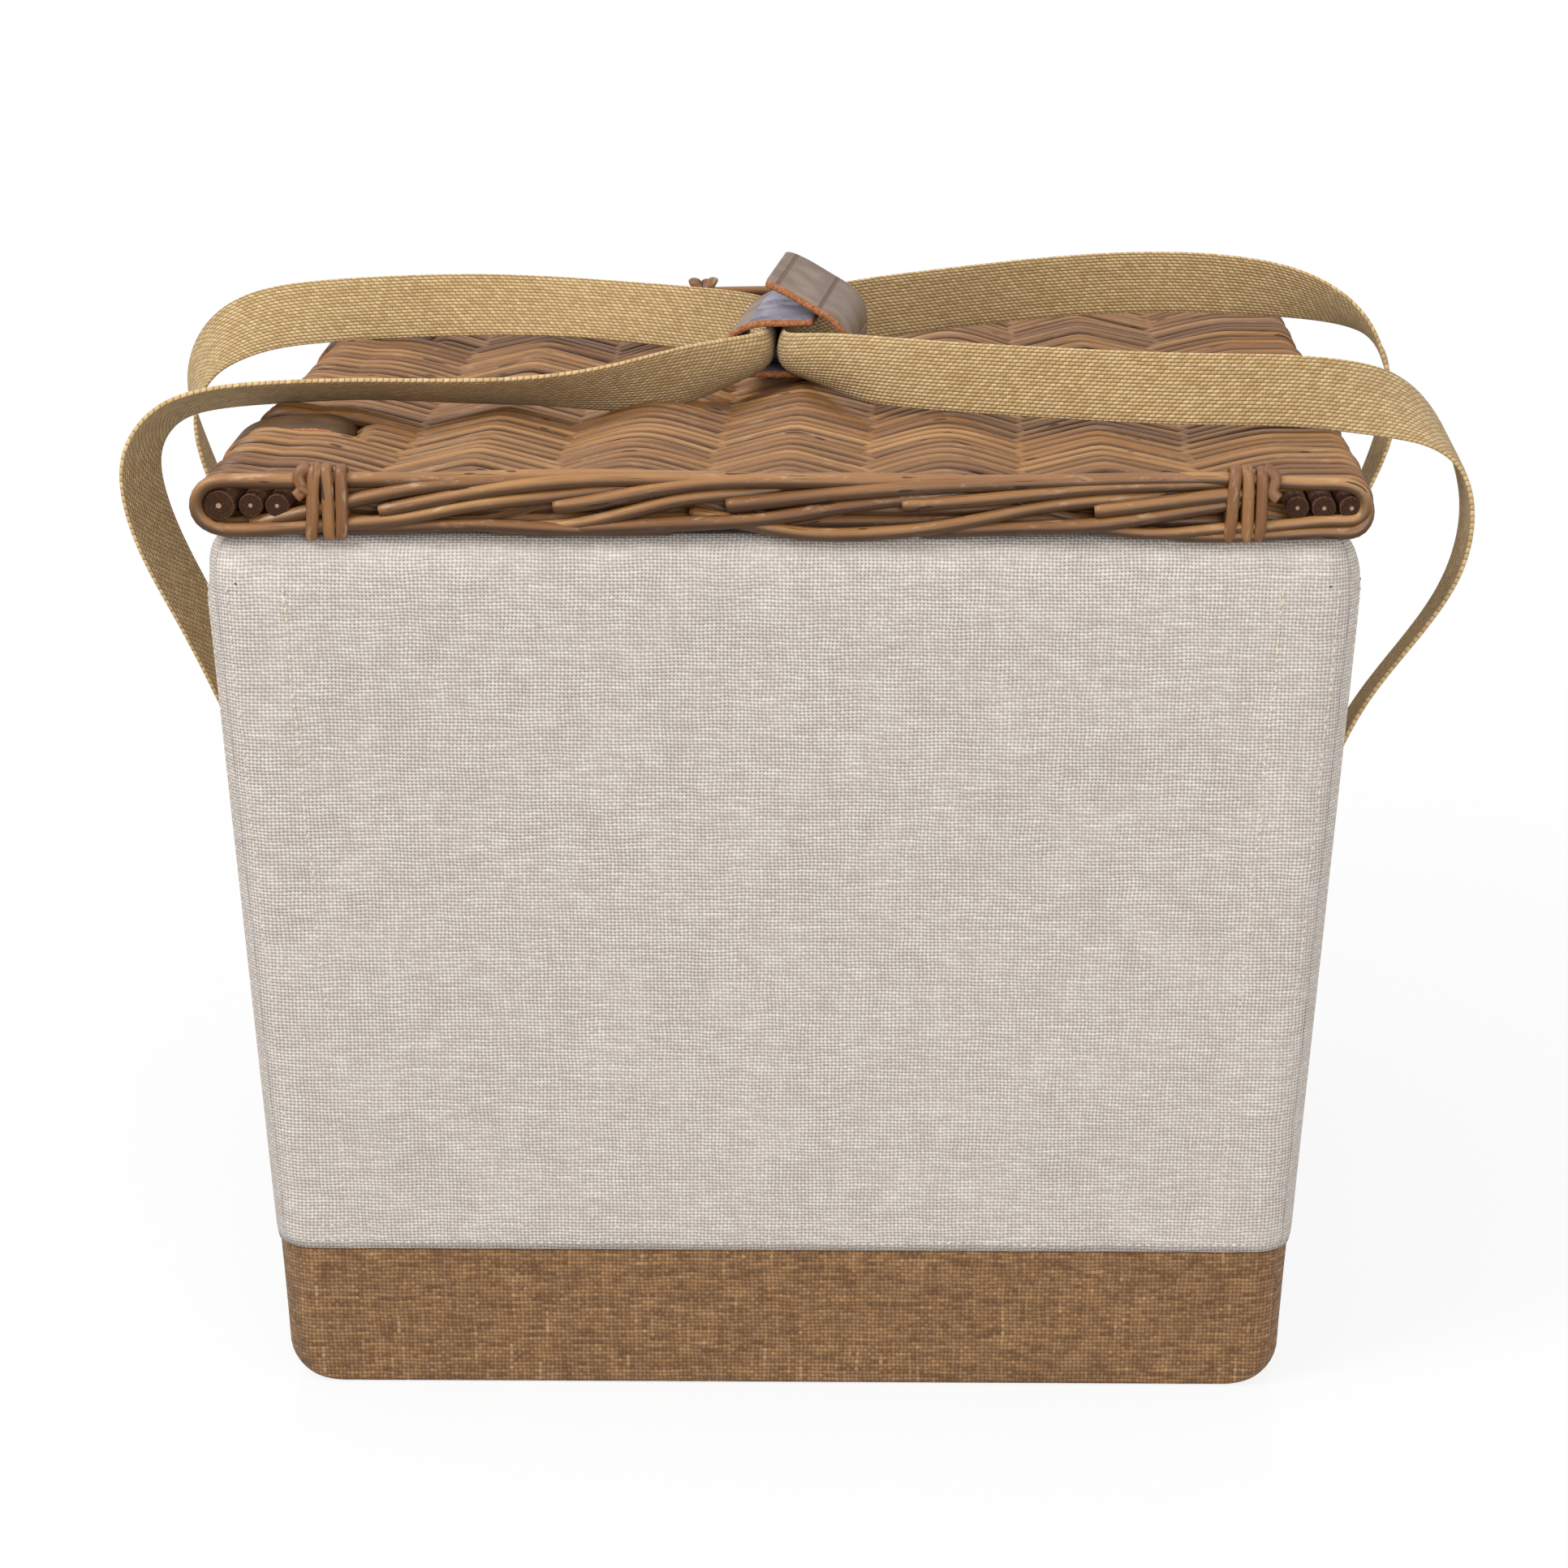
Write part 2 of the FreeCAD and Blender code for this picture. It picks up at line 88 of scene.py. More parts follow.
def gridQuads(rows, cols, closed, sheets=1):
    # corners of the faces between neighbouring rows and columns; closed joins last column to first
    i, j = np.meshgrid(np.arange(rows - 1), np.arange(cols if closed else cols - 1), indexing="ij")
    k = (j + 1) % cols
    quads = np.stack([i * cols + j, i * cols + k, (i + 1) * cols + k, (i + 1) * cols + j], -1)
    quads = quads.reshape(-1, 4)
    places = np.stack([i, j, i, j + 1, i + 1, j + 1, i + 1, j], -1).reshape(-1, 4, 2)
    shift = np.arange(sheets) * rows * cols
    return (quads[None] + shift[:, None, None]).reshape(-1, 4), places


def shapeOf(points, quads, uv, tris=None, triUv=None, **values):
    tris = np.zeros((0, 3), int) if tris is None else tris
    triUv = np.zeros((len(tris), 3, 2)) if triUv is None else triUv
    return {"points": points, "quads": quads, "uv": uv, "tris": tris, "triUv": triUv, "values": values}


def together(shapes):
    # several shapes as one, their corner numbers moved on
    shift = np.cumsum([0] + [len(s["points"]) for s in shapes[:-1]])
    out = {k: np.concatenate([s[k] for s in shapes]) for k in ("points", "uv", "triUv")}
    out["quads"] = np.concatenate([s["quads"] + d for s, d in zip(shapes, shift)])
    out["tris"] = np.concatenate([s["tris"] + d for s, d in zip(shapes, shift)])
    keys = shapes[0]["values"]
    out["values"] = {k: np.concatenate([s["values"][k] for s in shapes]) for k in keys}
    return out


def makePiece(name, shape, materials, quadFinish=None, triFinish=0):
    # four-cornered faces are smooth, three-cornered cut ends are flat
    points, quads, tris = shape["points"], shape["quads"], shape["tris"]
    mesh = bpy.data.meshes.new(name)
    corners = np.concatenate([quads.ravel(), tris.ravel()])
    starts = np.concatenate([4 * np.arange(len(quads)), 4 * len(quads) + 3 * np.arange(len(tris))])
    mesh.vertices.add(len(points))
    mesh.vertices.foreach_set("co", points.astype(np.float32).ravel())
    mesh.loops.add(len(corners))
    mesh.loops.foreach_set("vertex_index", corners.astype(np.int32))
    mesh.polygons.add(len(starts))
    mesh.polygons.foreach_set("loop_start", starts.astype(np.int32))
    mesh.update(calc_edges=True)
    mesh.polygons.foreach_set("use_smooth", np.arange(len(starts)) < len(quads))
    finish = np.full(len(starts), triFinish)
    finish[:len(quads)] = 0 if quadFinish is None else quadFinish
    for material in materials:
        mesh.materials.append(material)
    mesh.polygons.foreach_set("material_index", finish.astype(np.int32))
    uv = np.concatenate([shape["uv"].reshape(-1, 2), shape["triUv"].reshape(-1, 2)])
    mesh.uv_layers.new(name="UVMap").data.foreach_set("uv", uv.astype(np.float32).ravel())
    for key, value in shape["values"].items():
        mesh.attributes.new(key, "FLOAT", "POINT").data.foreach_set("value", value.astype(np.float32))
    piece = bpy.data.objects.new(name, mesh)
    bpy.context.scene.collection.objects.link(piece)
    return piece


def tubes(paths, radii, sides, reference, squash=1.0, tone=None):
    # paths (n, m, 3): at each step a ring square to the path; squash flattens across the reference
    paths = np.asarray(paths, float)
    n, m = paths.shape[:2]
    radii = np.broadcast_to(radii, (n, m))
    along = unit(np.gradient(paths, axis=1))
    reference = np.broadcast_to(np.asarray(reference, float), along.shape)
    first = unit(reference - (along * reference).sum(-1, keepdims=True) * along)
    second = np.cross(along, first)
    turn = 2 * np.pi * np.arange(sides) / sides
    ring = (np.cos(turn)[:, None] * first[:, :, None] + squash * np.sin(turn)[:, None] * second[:, :, None])
    points = paths[:, :, None] + radii[:, :, None, None] * ring
    # crest is how far each ring point faces up, 1 on the cut ends; the willow finishes paint shade from it
    crest = np.concatenate([ring[..., 2].ravel(), np.ones(2 * n)])
    quads, places = gridQuads(m, sides, True, n)
    run = np.concatenate([np.zeros((n, 1)), np.cumsum(np.linalg.norm(np.diff(paths, axis=1), axis=2), 1)], 1)
    u = run[:, places[:, :, 0]]
    v = np.broadcast_to(places[:, :, 1] / sides, u.shape) * 2 * np.pi * radii.mean()
    # each cut end is a fan about a middle point, its UV the place on a disc of radius one
    middle = np.stack([paths[:, 0], paths[:, -1]], 1)
    base = np.arange(n)[:, None] * m * sides
    j, k = np.arange(sides)[None], (np.arange(sides)[None] + 1) % sides
    centre = n * m * sides + 2 * np.arange(n)[:, None] + np.zeros_like(j)
    head = np.stack([centre, base + k, base + j], -1)
    tail = np.stack([centre + 1, base + (m - 1) * sides + j, base + (m - 1) * sides + k], -1)
    disc = np.stack([np.cos(turn), np.sin(turn)], -1)
    fan = np.stack([np.zeros_like(disc), disc[k[0]], disc], 1)
    fanTail = np.stack([np.zeros_like(disc), disc, disc[k[0]]], 1)
    tone = np.zeros(n) if tone is None else np.asarray(tone, float)
    return shapeOf(np.concatenate([points.reshape(-1, 3), middle.reshape(-1, 3)]), quads,
                   np.stack([u, v], -1).reshape(-1, 4, 2),
                   np.concatenate([head.reshape(-1, 3), tail.reshape(-1, 3)]),
                   np.concatenate([np.tile(fan, (n, 1, 1)), np.tile(fanTail, (n, 1, 1))]),
                   tone=np.concatenate([np.repeat(tone, m * sides), np.repeat(tone, 2)]), crest=crest)


def ribbon(centres, across, width, thick, cup=0.0, columns=10, edge=0.45):
    # a flat strip: a thin rounded outline carried along the centres; cup lifts its middle
    m = len(centres)
    width, cup = (np.broadcast_to(np.asarray(q, float), m) for q in (width, cup))
    along = unit(np.gradient(centres, axis=0))
    across = unit(across - (along * across).sum(-1, keepdims=True) * along)
    normal = np.cross(along, across)
    full = width.max()
    half = full / 2 - edge * thick
    bow = np.array([math.pi / 6, math.pi / 3])
    rim = half + edge * thick * np.sin(bow)
    t = np.linspace(-1, 1, columns) * half
    side = np.concatenate([t, rim, [full / 2], rim[::-1], -t, -rim, [-full / 2], -rim[::-1]])
    flat = np.full(columns, 0.5)
    high = np.concatenate([flat, 0.5 * np.cos(bow), [0.0], -0.5 * np.cos(bow[::-1]),
                           -flat, -0.5 * np.cos(bow), [0.0], 0.5 * np.cos(bow[::-1])]) * thick
    # a cupped strip keeps its length round the bow, so its two edges draw in
    spread = side[None] * (width / full * (1 - 2.67 * (cup / full) ** 2))[:, None]
    lift = high[None] + cup[:, None] * (1 - (2 * side / full) ** 2)[None]
    ring = len(side)
    points = centres[:, None] + spread[..., None] * across[:, None] + lift[..., None] * normal[:, None]
    quads, places = gridQuads(m, ring, True)
    run = np.concatenate([[0.0], np.cumsum(np.linalg.norm(np.diff(centres, axis=0), axis=1))])
    uv = np.stack([run[places[:, :, 0]], side[places[:, :, 1] % ring]], -1)
    j = np.arange(ring)
    k = (j + 1) % ring
    base = m * ring
    tris = np.concatenate([np.stack([np.full(ring, base), j, k], -1),
                           np.stack([np.full(ring, base + 1), (m - 1) * ring + k, (m - 1) * ring + j], -1)])
    shape = shapeOf(np.concatenate([points.reshape(-1, 3), centres[[0, -1]]]), quads[:, ::-1], uv[:, ::-1], tris)
    shape["ring"], shape["edgeColumns"] = ring, columns
    return shape


# Shader wiring

def tint(red, green, blue):
    # a screen colour of 0-255 as the linear light that shaders use
    c = np.array([red, green, blue]) / 255
    return (*np.where(c > 0.04045, ((c + 0.055) / 1.055) ** 2.4, c / 12.92), 1.0)


class Wire:
    # a shader socket that Python sums can be written on
    def __init__(self, shader, socket):
        self.shader, self.socket = shader, socket

    def sum(self, operation, a, b=0.0, c=0.0):
        return self.shader.node("ShaderNodeMath", {"operation": operation}, {0: a, 1: b, 2: c})

    def __add__(self, other):
        return self.sum("ADD", self, other)

    def __radd__(self, other):
        return self.sum("ADD", other, self)

    def __sub__(self, other):
        return self.sum("SUBTRACT", self, other)

    def __rsub__(self, other):
        return self.sum("SUBTRACT", other, self)

    def __mul__(self, other):
        return self.sum("MULTIPLY", self, other)

    def __rmul__(self, other):
        return self.sum("MULTIPLY", other, self)

    def __truediv__(self, other):
        return self.sum("DIVIDE", self, other)

    def __pow__(self, other):
        return self.sum("POWER", self, other)

    def floor(self):
        return self.sum("FLOOR", self)

    def fract(self):
        return self.sum("FRACT", self)

    def sine(self):
        return self.sum("SINE", self)

    def size(self):
        return self.sum("ABSOLUTE", self)

    def above(self, edge, soft):
        # 0 below edge, 1 past edge + soft, smooth between
        return self.shader.node("ShaderNodeMapRange", {"interpolation_type": "SMOOTHSTEP"},
                                {0: self, 1: edge, 2: edge + soft})


class Shader:
    # one material; node() takes a type, its settings and its sockets' values or links
    def __init__(self, name):
        self.material = bpy.data.materials.new(name)
        self.material.use_nodes = True
        self.tree = self.material.node_tree
        self.tree.nodes.clear()

    def node(self, kind, settings=None, sockets=None, out=0):
        made = self.tree.nodes.new(kind)
        for key, value in (settings or {}).items():
            setattr(made, key, value)
        for key, value in (sockets or {}).items():
            if isinstance(value, Wire):
                self.tree.links.new(value.socket, made.inputs[key])
            else:
                made.inputs[key].default_value = value
        return Wire(self, made.outputs[out]) if made.outputs else made

    def uv(self):
        place = self.node("ShaderNodeUVMap", {"uv_map": "UVMap"})
        return self.split(place)

    def place(self):
        return self.node("ShaderNodeTexCoord", out="Object")

    def split(self, vector):
        made = self.node("ShaderNodeSeparateXYZ", None, {0: vector})
        return [Wire(self, s) for s in made.socket.node.outputs]

    def join(self, x, y, z=0.0):
        return self.node("ShaderNodeCombineXYZ", None, {0: x, 1: y, 2: z})

    def value(self, name):
        return self.node("ShaderNodeAttribute", {"attribute_name": name}, out="Fac")

    def noise(self, vector, scale=1.0, detail=2.0, rough=0.5):
        return self.node("ShaderNodeTexNoise", {"noise_dimensions": "3D"},
                         {"Vector": vector, "Scale": scale, "Detail": detail, "Roughness": rough})

    def mix(self, factor, a, b, kind="MIX"):
        return self.node("ShaderNodeMix", {"data_type": "RGBA", "blend_type": kind}, {0: factor, 6: a, 7: b}, out=2)

    def bump(self, height, distance):
        return self.node("ShaderNodeBump", None, {"Height": height, "Distance": distance, "Strength": 1.0})

    def finish(self, colour, roughness, normal=None, **fixed):
        # fixed holds the sockets whose value is the same all over
        sockets = {"Base Color": colour, "Roughness": roughness}
        if normal is not None:
            sockets["Normal"] = normal
        sockets.update({key.replace("_", " "): value for key, value in fixed.items()})
        surface = self.node("ShaderNodeBsdfPrincipled", None, sockets)
        self.node("ShaderNodeOutputMaterial", None, {"Surface": surface})
        return self.material


def plainWeave(a, b):
    # a and b count threads; over cells alternate, and each thread bulges over its neighbour
    across, down = (a.fract() * math.pi).sine(), (b.fract() * math.pi).sine()
    over = ((a.floor() + b.floor()) * 0.5).fract() * 2
    first = across * (down * 0.45 + 0.55)
    second = down * (across * 0.45 + 0.55)
    height = first * over + second * (1 - over)
    # holes marks the gaps at the thread corners; the cloths paint them dark as shade
    holes = (1 - across) * (1 - down)
    return height, holes, over


# Materials

linenLook = {"thread": 1.45, "warp": (224, 215, 206), "weft": (204, 193, 183), "hole": (84, 72, 62)}


def linen():
    # loose plain weave with slubs: single threads differ, and the pinholes at their corners are painted dark as shade
    s = Shader("naturalLinen")
    u, v, _ = s.uv()
    wander = s.noise(s.join(u, v), 55.0, 2.0) - 0.5
    a = u / (linenLook["thread"] * mm) + wander * 1.6
    b = v / (linenLook["thread"] * mm * 0.93) + wander * 1.3
    height, holes, over = plainWeave(a, b)
    rowTone = s.noise(s.join(u * 90, b.floor() * 7.3, 1.0), 1.0, 2.0, 0.6)
    colTone = s.noise(s.join(a.floor() * 5.7, v * 90, 2.0), 1.0, 2.0, 0.6)
    tone = rowTone * (1 - over * 0.65) + colTone * over * 0.65
    colour = s.mix(tone.above(0.36, 0.3), tint(*linenLook["weft"]), tint(*linenLook["warp"]))
    slub = rowTone.above(0.62, 0.1)
    colour = s.mix(slub * 0.5, colour, tint(236, 228, 218))
    fleck = s.noise(s.join(u * 160, v * 900, 4.0), 1.0, 1.0).above(0.70, 0.05)
    colour = s.mix(fleck * 0.4, colour, tint(176, 140, 120))
    patch = s.noise(s.join(u, v, 5.0), 16.0, 3.0).above(0.56, 0.22)
    colour = s.mix(patch * 0.18, colour, tint(186, 178, 176))
    # painted shade: the pinholes between threads are darkened, more in some places than others
    holeShadeShare = s.noise(s.join(u, v, 9.0), 40.0, 3.0, 0.6).above(0.32, 0.3) * 0.3 + 0.7
    colour = s.mix((holes ** 0.8) * holeShadeShare, colour, tint(*linenLook["hole"]))
    normal = s.bump(height + (rowTone + colTone) * 0.9, 0.34 * mm)
    return s.finish(colour, 0.92, normal, Sheen_Weight=0.12, Sheen_Roughness=0.6)


footLook = {"thread": 1.6, "light": (168, 126, 82), "dark": (112, 76, 42), "hole": (46, 28, 13)}


def footCanvas():
    # the same loose weave in brown, with fewer pale slubs
    s = Shader("brownCanvas")
    u, v, _ = s.uv()
    wander = s.noise(s.join(u, v, 3.0), 60.0, 2.0) - 0.5
    a = u / (footLook["thread"] * mm) + wander * 1.4
    b = v / (footLook["thread"] * mm) + wander * 1.2
    height, holes, over = plainWeave(a, b)
    rowTone = s.noise(s.join(u * 90, b.floor() * 6.1, 1.0), 1.0, 3.0, 0.65)
    colTone = s.noise(s.join(a.floor() * 4.9, v * 40, 2.0), 1.0, 3.0, 0.65)
    tone = rowTone * (1 - over * 0.6) + colTone * over * 0.6
    colour = s.mix(tone.above(0.33, 0.34), tint(*footLook["dark"]), tint(*footLook["light"]))
    slub = rowTone.above(0.64, 0.08) * (1 - over * 0.6) + colTone.above(0.62, 0.06) * (over * 0.5 + 0.5)
    colour = s.mix(slub * 0.55, colour, tint(196, 156, 112))
    # painted shade: the gaps between threads are darkened almost to black
    colour = s.mix(holes ** 0.8, colour, tint(*footLook["hole"]))
    normal = s.bump(height + (rowTone + colTone) * 0.8, 0.34 * mm)
    return s.finish(colour, 0.93, normal, Sheen_Weight=0.1, Sheen_Roughness=0.6)


def liningCloth():
    # a fine plain weave, paler than the outside
    s = Shader("liningCloth")
    u, v, _ = s.uv()
    height, holes, over = plainWeave(u / (0.8 * mm), v / (0.8 * mm))
    tone = s.noise(s.join(u * 30, (v / (0.8 * mm)).floor() * 3.7), 1.0, 2.0)
    colour = s.mix(tone.above(0.35, 0.35), tint(196, 184, 162), tint(216, 205, 184))
    # painted shade: the gaps between threads are darkened by half
    colour = s.mix(holes * 0.5, colour, tint(150, 136, 112))
    return s.finish(colour, 0.9, s.bump(height, 0.15 * mm), Sheen_Weight=0.1)


webLook = {"along": 2.6, "across": 1.45, "light": (222, 192, 140), "dark": (192, 158, 106), "gap": (138, 108, 64)}


def cottonWebbing():
    # heavy cotton weave: short slanted floats in columns, every other column half a step on
    s = Shader("cottonWebbing")
    u, v, _ = s.uv()
    wander = s.noise(s.join(u, v, 7.0), 120.0, 1.0) - 0.5
    column = v / (webLook["across"] * mm) + wander * 0.22
    lane = column.floor()
    step = u / (webLook["along"] * mm) + (lane * 0.5).fract() + column.fract() * 0.35 + wander * 0.4
    across, down = (column.fract() * math.pi).sine(), (step.fract() * math.pi).sine()
    floats = (across ** 0.7) * (down ** 0.55)
    tone = s.noise(s.join(step.floor() * 3.1, lane * 5.3, 1.0), 1.0, 1.0)
    colour = s.mix(tone.above(0.3, 0.4), tint(*webLook["dark"]), tint(*webLook["light"]))
    fibre = s.noise(s.join(u * 900, v * 3500, 2.0), 1.0, 2.0)
    colour = s.mix(fibre.above(0.45, 0.3) * 0.25, colour, tint(222, 192, 142))
    # painted shade: the gaps between the floats are darkened
    colour = s.mix((1 - floats.above(0.10, 0.55)) * 0.85, colour, tint(*webLook["gap"]))
    normal = s.bump(floats + fibre * 0.12, 0.55 * mm)
    return s.finish(colour, 0.9, normal, Sheen_Weight=0.15, Sheen_Roughness=0.5)


willowLook = {"pale": (202, 156, 100), "mid": (170, 122, 72), "red": (122, 80, 44), "dark": (48, 28, 16),
              "bloom": (218, 186, 152)}


def willow(name, dull=0.0, warm=0.0, paintedShade=0.8, bothWays=False):
    # steamed willow: each rod has its own tone, with streaks, knots and a waxy shine, and painted shade on its shaded
    # sides
    s = Shader(name)
    u, v, _ = s.uv()
    tone = s.value("tone")
    broad = s.noise(s.join(u * 14, v * 60, tone * 37), 1.0, 2.0)
    streak = s.noise(s.join(u * 45, v * 1500, tone * 91), 1.0, 3.0, 0.6)
    grain = s.noise(s.join(u * 160, v * 4200, tone * 13), 1.0, 2.0)
    shade = tone * 0.26 + broad * 0.62 + streak * 0.46 - 0.28 + warm
    colour = s.mix(shade.above(0.16, 0.42), tint(*willowLook["red"]), tint(*willowLook["mid"]))
    colour = s.mix(shade.above(0.42, 0.5), colour, tint(*willowLook["pale"]))
    colour = s.mix(streak.above(0.54, 0.14) * 0.5, colour, tint(*willowLook["red"]))
    bloom = s.noise(s.join(u * 90, v * 240, tone * 53 + 5), 1.0, 3.0, 0.65).above(0.56, 0.18)
    colour = s.mix(bloom * (0.22 + dull * 0.5), colour, tint(*willowLook["bloom"]))
    knot = s.noise(s.join(u * 60, v * 300, tone * 71 + 9), 1.0, 1.0).above(0.70, 0.03)
    scuff = s.noise(s.join(u * 30, v * 900, tone * 29 + 3), 1.0, 2.0).above(0.66, 0.05)
    colour = s.mix(knot * 0.85, colour, tint(*willowLook["dark"]))
    colour = s.mix(scuff * 0.55, colour, tint(*willowLook["dark"]))
    # painted shade: each rod's underside is darkened; with bothWays its two sides, where it meets the neighbouring
    # rows, are darkened instead
    crest = s.value("crest").size() * 1.6 - 0.5 if bothWays else s.value("crest")
    low = 1 - crest.above(-0.35, 1.05)
    colour = s.mix(low * paintedShade, colour, tint(*willowLook["dark"]))
    rough = 0.24 + dull * 0.16 + streak * 0.2 + knot * 0.3
    normal = s.bump(streak * 0.6 + grain * 0.3 - knot * 0.8 + broad * 0.8, 0.22 * mm)
    return s.finish(colour, rough, normal, Specular_IOR_Level=0.5)


def stickBark():
    # dark bark with streaks along the stick
    s = Shader("stickBark")
    u, v, _ = s.uv()
    streak = s.noise(s.join(u * 50, v * 900, s.value("tone") * 50), 1.0, 3.0, 0.6)
    colour = s.mix(streak.above(0.35, 0.35), tint(70, 40, 26), tint(116, 74, 46))
    return s.finish(colour, 0.6, s.bump(streak, 0.2 * mm))


def stickEnd():
    # cut end of a stick on its unit disc: dark wood, faint rings and cracks, pale pith
    s = Shader("stickEnd")
    x, y, _ = s.uv()
    reach = (x * x + y * y) ** 0.5
    rings = (reach * 38 + s.noise(s.join(x, y), 3.0) * 6).sine() * 0.5 + 0.5
    rough = s.noise(s.join(x, y, s.value("tone") * 20), 9.0, 4.0, 0.7)
    colour = s.mix(rough.above(0.35, 0.35), tint(40, 24, 17), tint(80, 53, 38))
    colour = s.mix(rings * 0.2, colour, tint(98, 68, 50))
    colour = s.mix(1 - (reach + rough * 0.09).above(0.2, 0.06), colour, tint(176, 140, 112))
    return s.finish(colour, 0.92, s.bump(rough + rings * 0.3, 0.4 * mm), Specular_IOR_Level=0.15)


def rodEnd():
    # cut end of a rod: pale fibre with a darker skin
    s = Shader("rodEnd")
    x, y, _ = s.uv()
    reach = (x * x + y * y) ** 0.5
    rough = s.noise(s.join(x, y, s.value("tone") * 20), 6.0, 4.0, 0.7)
    colour = s.mix(rough.above(0.35, 0.35), tint(150, 108, 74), tint(196, 156, 116))
    colour = s.mix(reach.above(0.78, 0.16), colour, tint(104, 64, 38))
    return s.finish(colour, 0.8, s.bump(rough, 0.3 * mm))


def leatherFace(name, low, high, seams=()):
    # coated leather: fine creases, soft blotches and darker sunken lines where it is pressed
    s = Shader(name)
    u, v, _ = s.uv()
    crease = s.noise(s.join(u * 420, v * 160, 1.0), 1.0, 4.0, 0.6)
    brush = s.noise(s.join(u * 60, v * 900, 3.0), 1.0, 2.0)
    blotch = s.noise(s.join(u * 60, v * 60, 2.0), 1.0, 3.0)
    colour = s.mix(blotch.above(0.3, 0.4), tint(*low), tint(*high))
    colour = s.mix(brush.above(0.55, 0.2) * 0.22, colour, tint(182, 168, 158))
    height = crease * 0.5 + brush * 0.2
    for place in seams:
        line = 1 - (u - place).size().above(0.5 * mm, 0.7 * mm)
        colour = s.mix(line * 0.8, colour, tint(104, 70, 50))
        height = height - line * 2.5
    return s.finish(colour, 0.42 + crease * 0.2, s.bump(height, 0.16 * mm), Specular_IOR_Level=0.5)


def leatherEdge():
    # the cut edge: warm raw fibre
    s = Shader("leatherEdge")
    place = s.place()
    fibre = s.noise(place, 900.0, 4.0, 0.65)
    coarse = s.noise(place, 260.0, 2.0)
    colour = s.mix(fibre.above(0.38, 0.26), tint(142, 86, 52), tint(186, 124, 82))
    colour = s.mix(coarse.above(0.58, 0.12) * 0.4, colour, tint(112, 64, 38))
    return s.finish(colour, 0.85, s.bump(fibre, 0.4 * mm))


def leatherBack():
    # bare flesh side of the wrap, pale grey with a lilac cast and short fibres
    s = Shader("leatherBack")
    place = s.place()
    fibre = s.noise(place, 700.0, 5.0, 0.7)
    blotch = s.noise(place, 90.0, 3.0)
    colour = s.mix(blotch.above(0.35, 0.3), tint(118, 112, 126), tint(168, 164, 176))
    colour = s.mix(fibre.above(0.55, 0.14) * 0.5, colour, tint(205, 200, 206))
    return s.finish(colour, 0.85, s.bump(fibre, 0.35 * mm))


def hidden(name, low, high, scale, rough, metal=0.0):
    # a plain speckled finish for what is inside: board, wire
    s = Shader(name)
    grain = s.noise(s.place(), scale, 4.0, 0.65)
    colour = s.mix(grain.above(0.35, 0.3), tint(*low), tint(*high))
    return s.finish(colour, grain * 0.2 + rough, s.bump(grain, 0.15 * mm), Metallic=metal)


def thread(name, low, high):
    # sewing thread with a fine twist
    s = Shader(name)
    twist = s.noise(s.place(), 1800.0, 2.0)
    colour = s.mix(twist.above(0.35, 0.3), tint(*low), tint(*high))
    return s.finish(colour, 0.8, s.bump(twist, 0.1 * mm))


cloth, footCloth, innerCloth, webCloth = linen(), footCanvas(), liningCloth(), cottonWebbing()
rodSkin, borderSkin = willow("willowRod", bothWays=True), willow("willowBorder", 0.3, -0.04)
bindingSkin = willow("willowBinding", 0.5, -0.12, 0.0)
bark, stickFace, rodFace = stickBark(), stickEnd(), rodEnd()
tabFace = leatherFace("hingeLeather", (74, 52, 32), (106, 78, 50))
rawEdge, rawBack = leatherEdge(), leatherBack()
boardFace = hidden("fibreBoard", (128, 112, 92), (164, 148, 124), 500.0, 0.75)
wireFace = hidden("steelWire", (120, 120, 122), (150, 150, 152), 200.0, 0.25, 1.0)
paleThread = thread("paleThread", (198, 184, 164), (228, 216, 198))
webThread = thread("khakiThread", (176, 142, 94), (208, 176, 126))
print("materials made")

# The canvas box

panelLow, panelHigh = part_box("front_canvas_panel")
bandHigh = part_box("front_foot_band")[1].z
halfWide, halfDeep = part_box("right_canvas_panel")[1].x, -panelLow.y
rimHigh = panelHigh.z

boxLook = {"shoulder": 15 * mm, "inset": 10 * mm, "corner": 16 * mm, "footCorner": -6 * mm, "footReach": 60 * mm,
           "taper": 18 * mm, "cloth": 1.2 * mm, "billow": 0.9 * mm, "pucker": 0.28 * mm, "hem": 5.2 * mm,
           "endRoll": 3 * mm, "sideRoll": 15 * mm}
sideTurn = {"front": 0, "right": 1, "rear": 2, "left": 3}
shoulderLow = rimHigh - boxLook["shoulder"]


def sideHalves(side):
    # half the side's own width and its distance from the middle, at the widest level
    return (halfWide, halfDeep) if side in ("front", "rear") else (halfDeep, halfWide)


def turned(side, x, y, z):
    # the front side's points, turned a quarter at a time to the other sides
    for _ in range(sideTurn[side]):
        x, y = -y, x
    return np.stack([x, y, z], -1)


def straightHalf(side, z, inset=0.0):
    # half the straight length between the corner arcs at this height
    wide, _ = sideHalves(side)
    shrink = boxLook["taper"] * np.clip(1 - z / shoulderLow, 0, 1) + inset
    return wide - shrink - tuckedUnder(side, z, 0) - cornerAt(z, inset)


def cornerAt(z, inset=0.0):
    # corner radius: smaller under the rolled rim, and drawn in towards the floor
    rounding = boxLook["footCorner"] * np.clip(1 - z / boxLook["footReach"], 0, 1) ** 2
    return np.maximum(boxLook["corner"] - inset * 0.75, 1.5 * mm) + rounding


def tuckedUnder(side, z, away):
    # how far the wall has rolled in at this height: a wide roll under the long sides, a small one at the ends
    wideWay = (side in ("front", "rear")) != bool(away)
    roll = boxLook["sideRoll"] if wideWay else boxLook["endRoll"]
    return roll * (1 - np.sqrt(np.clip(1 - np.clip(1 - z / roll, 0, 1) ** 2, 0, 1)))


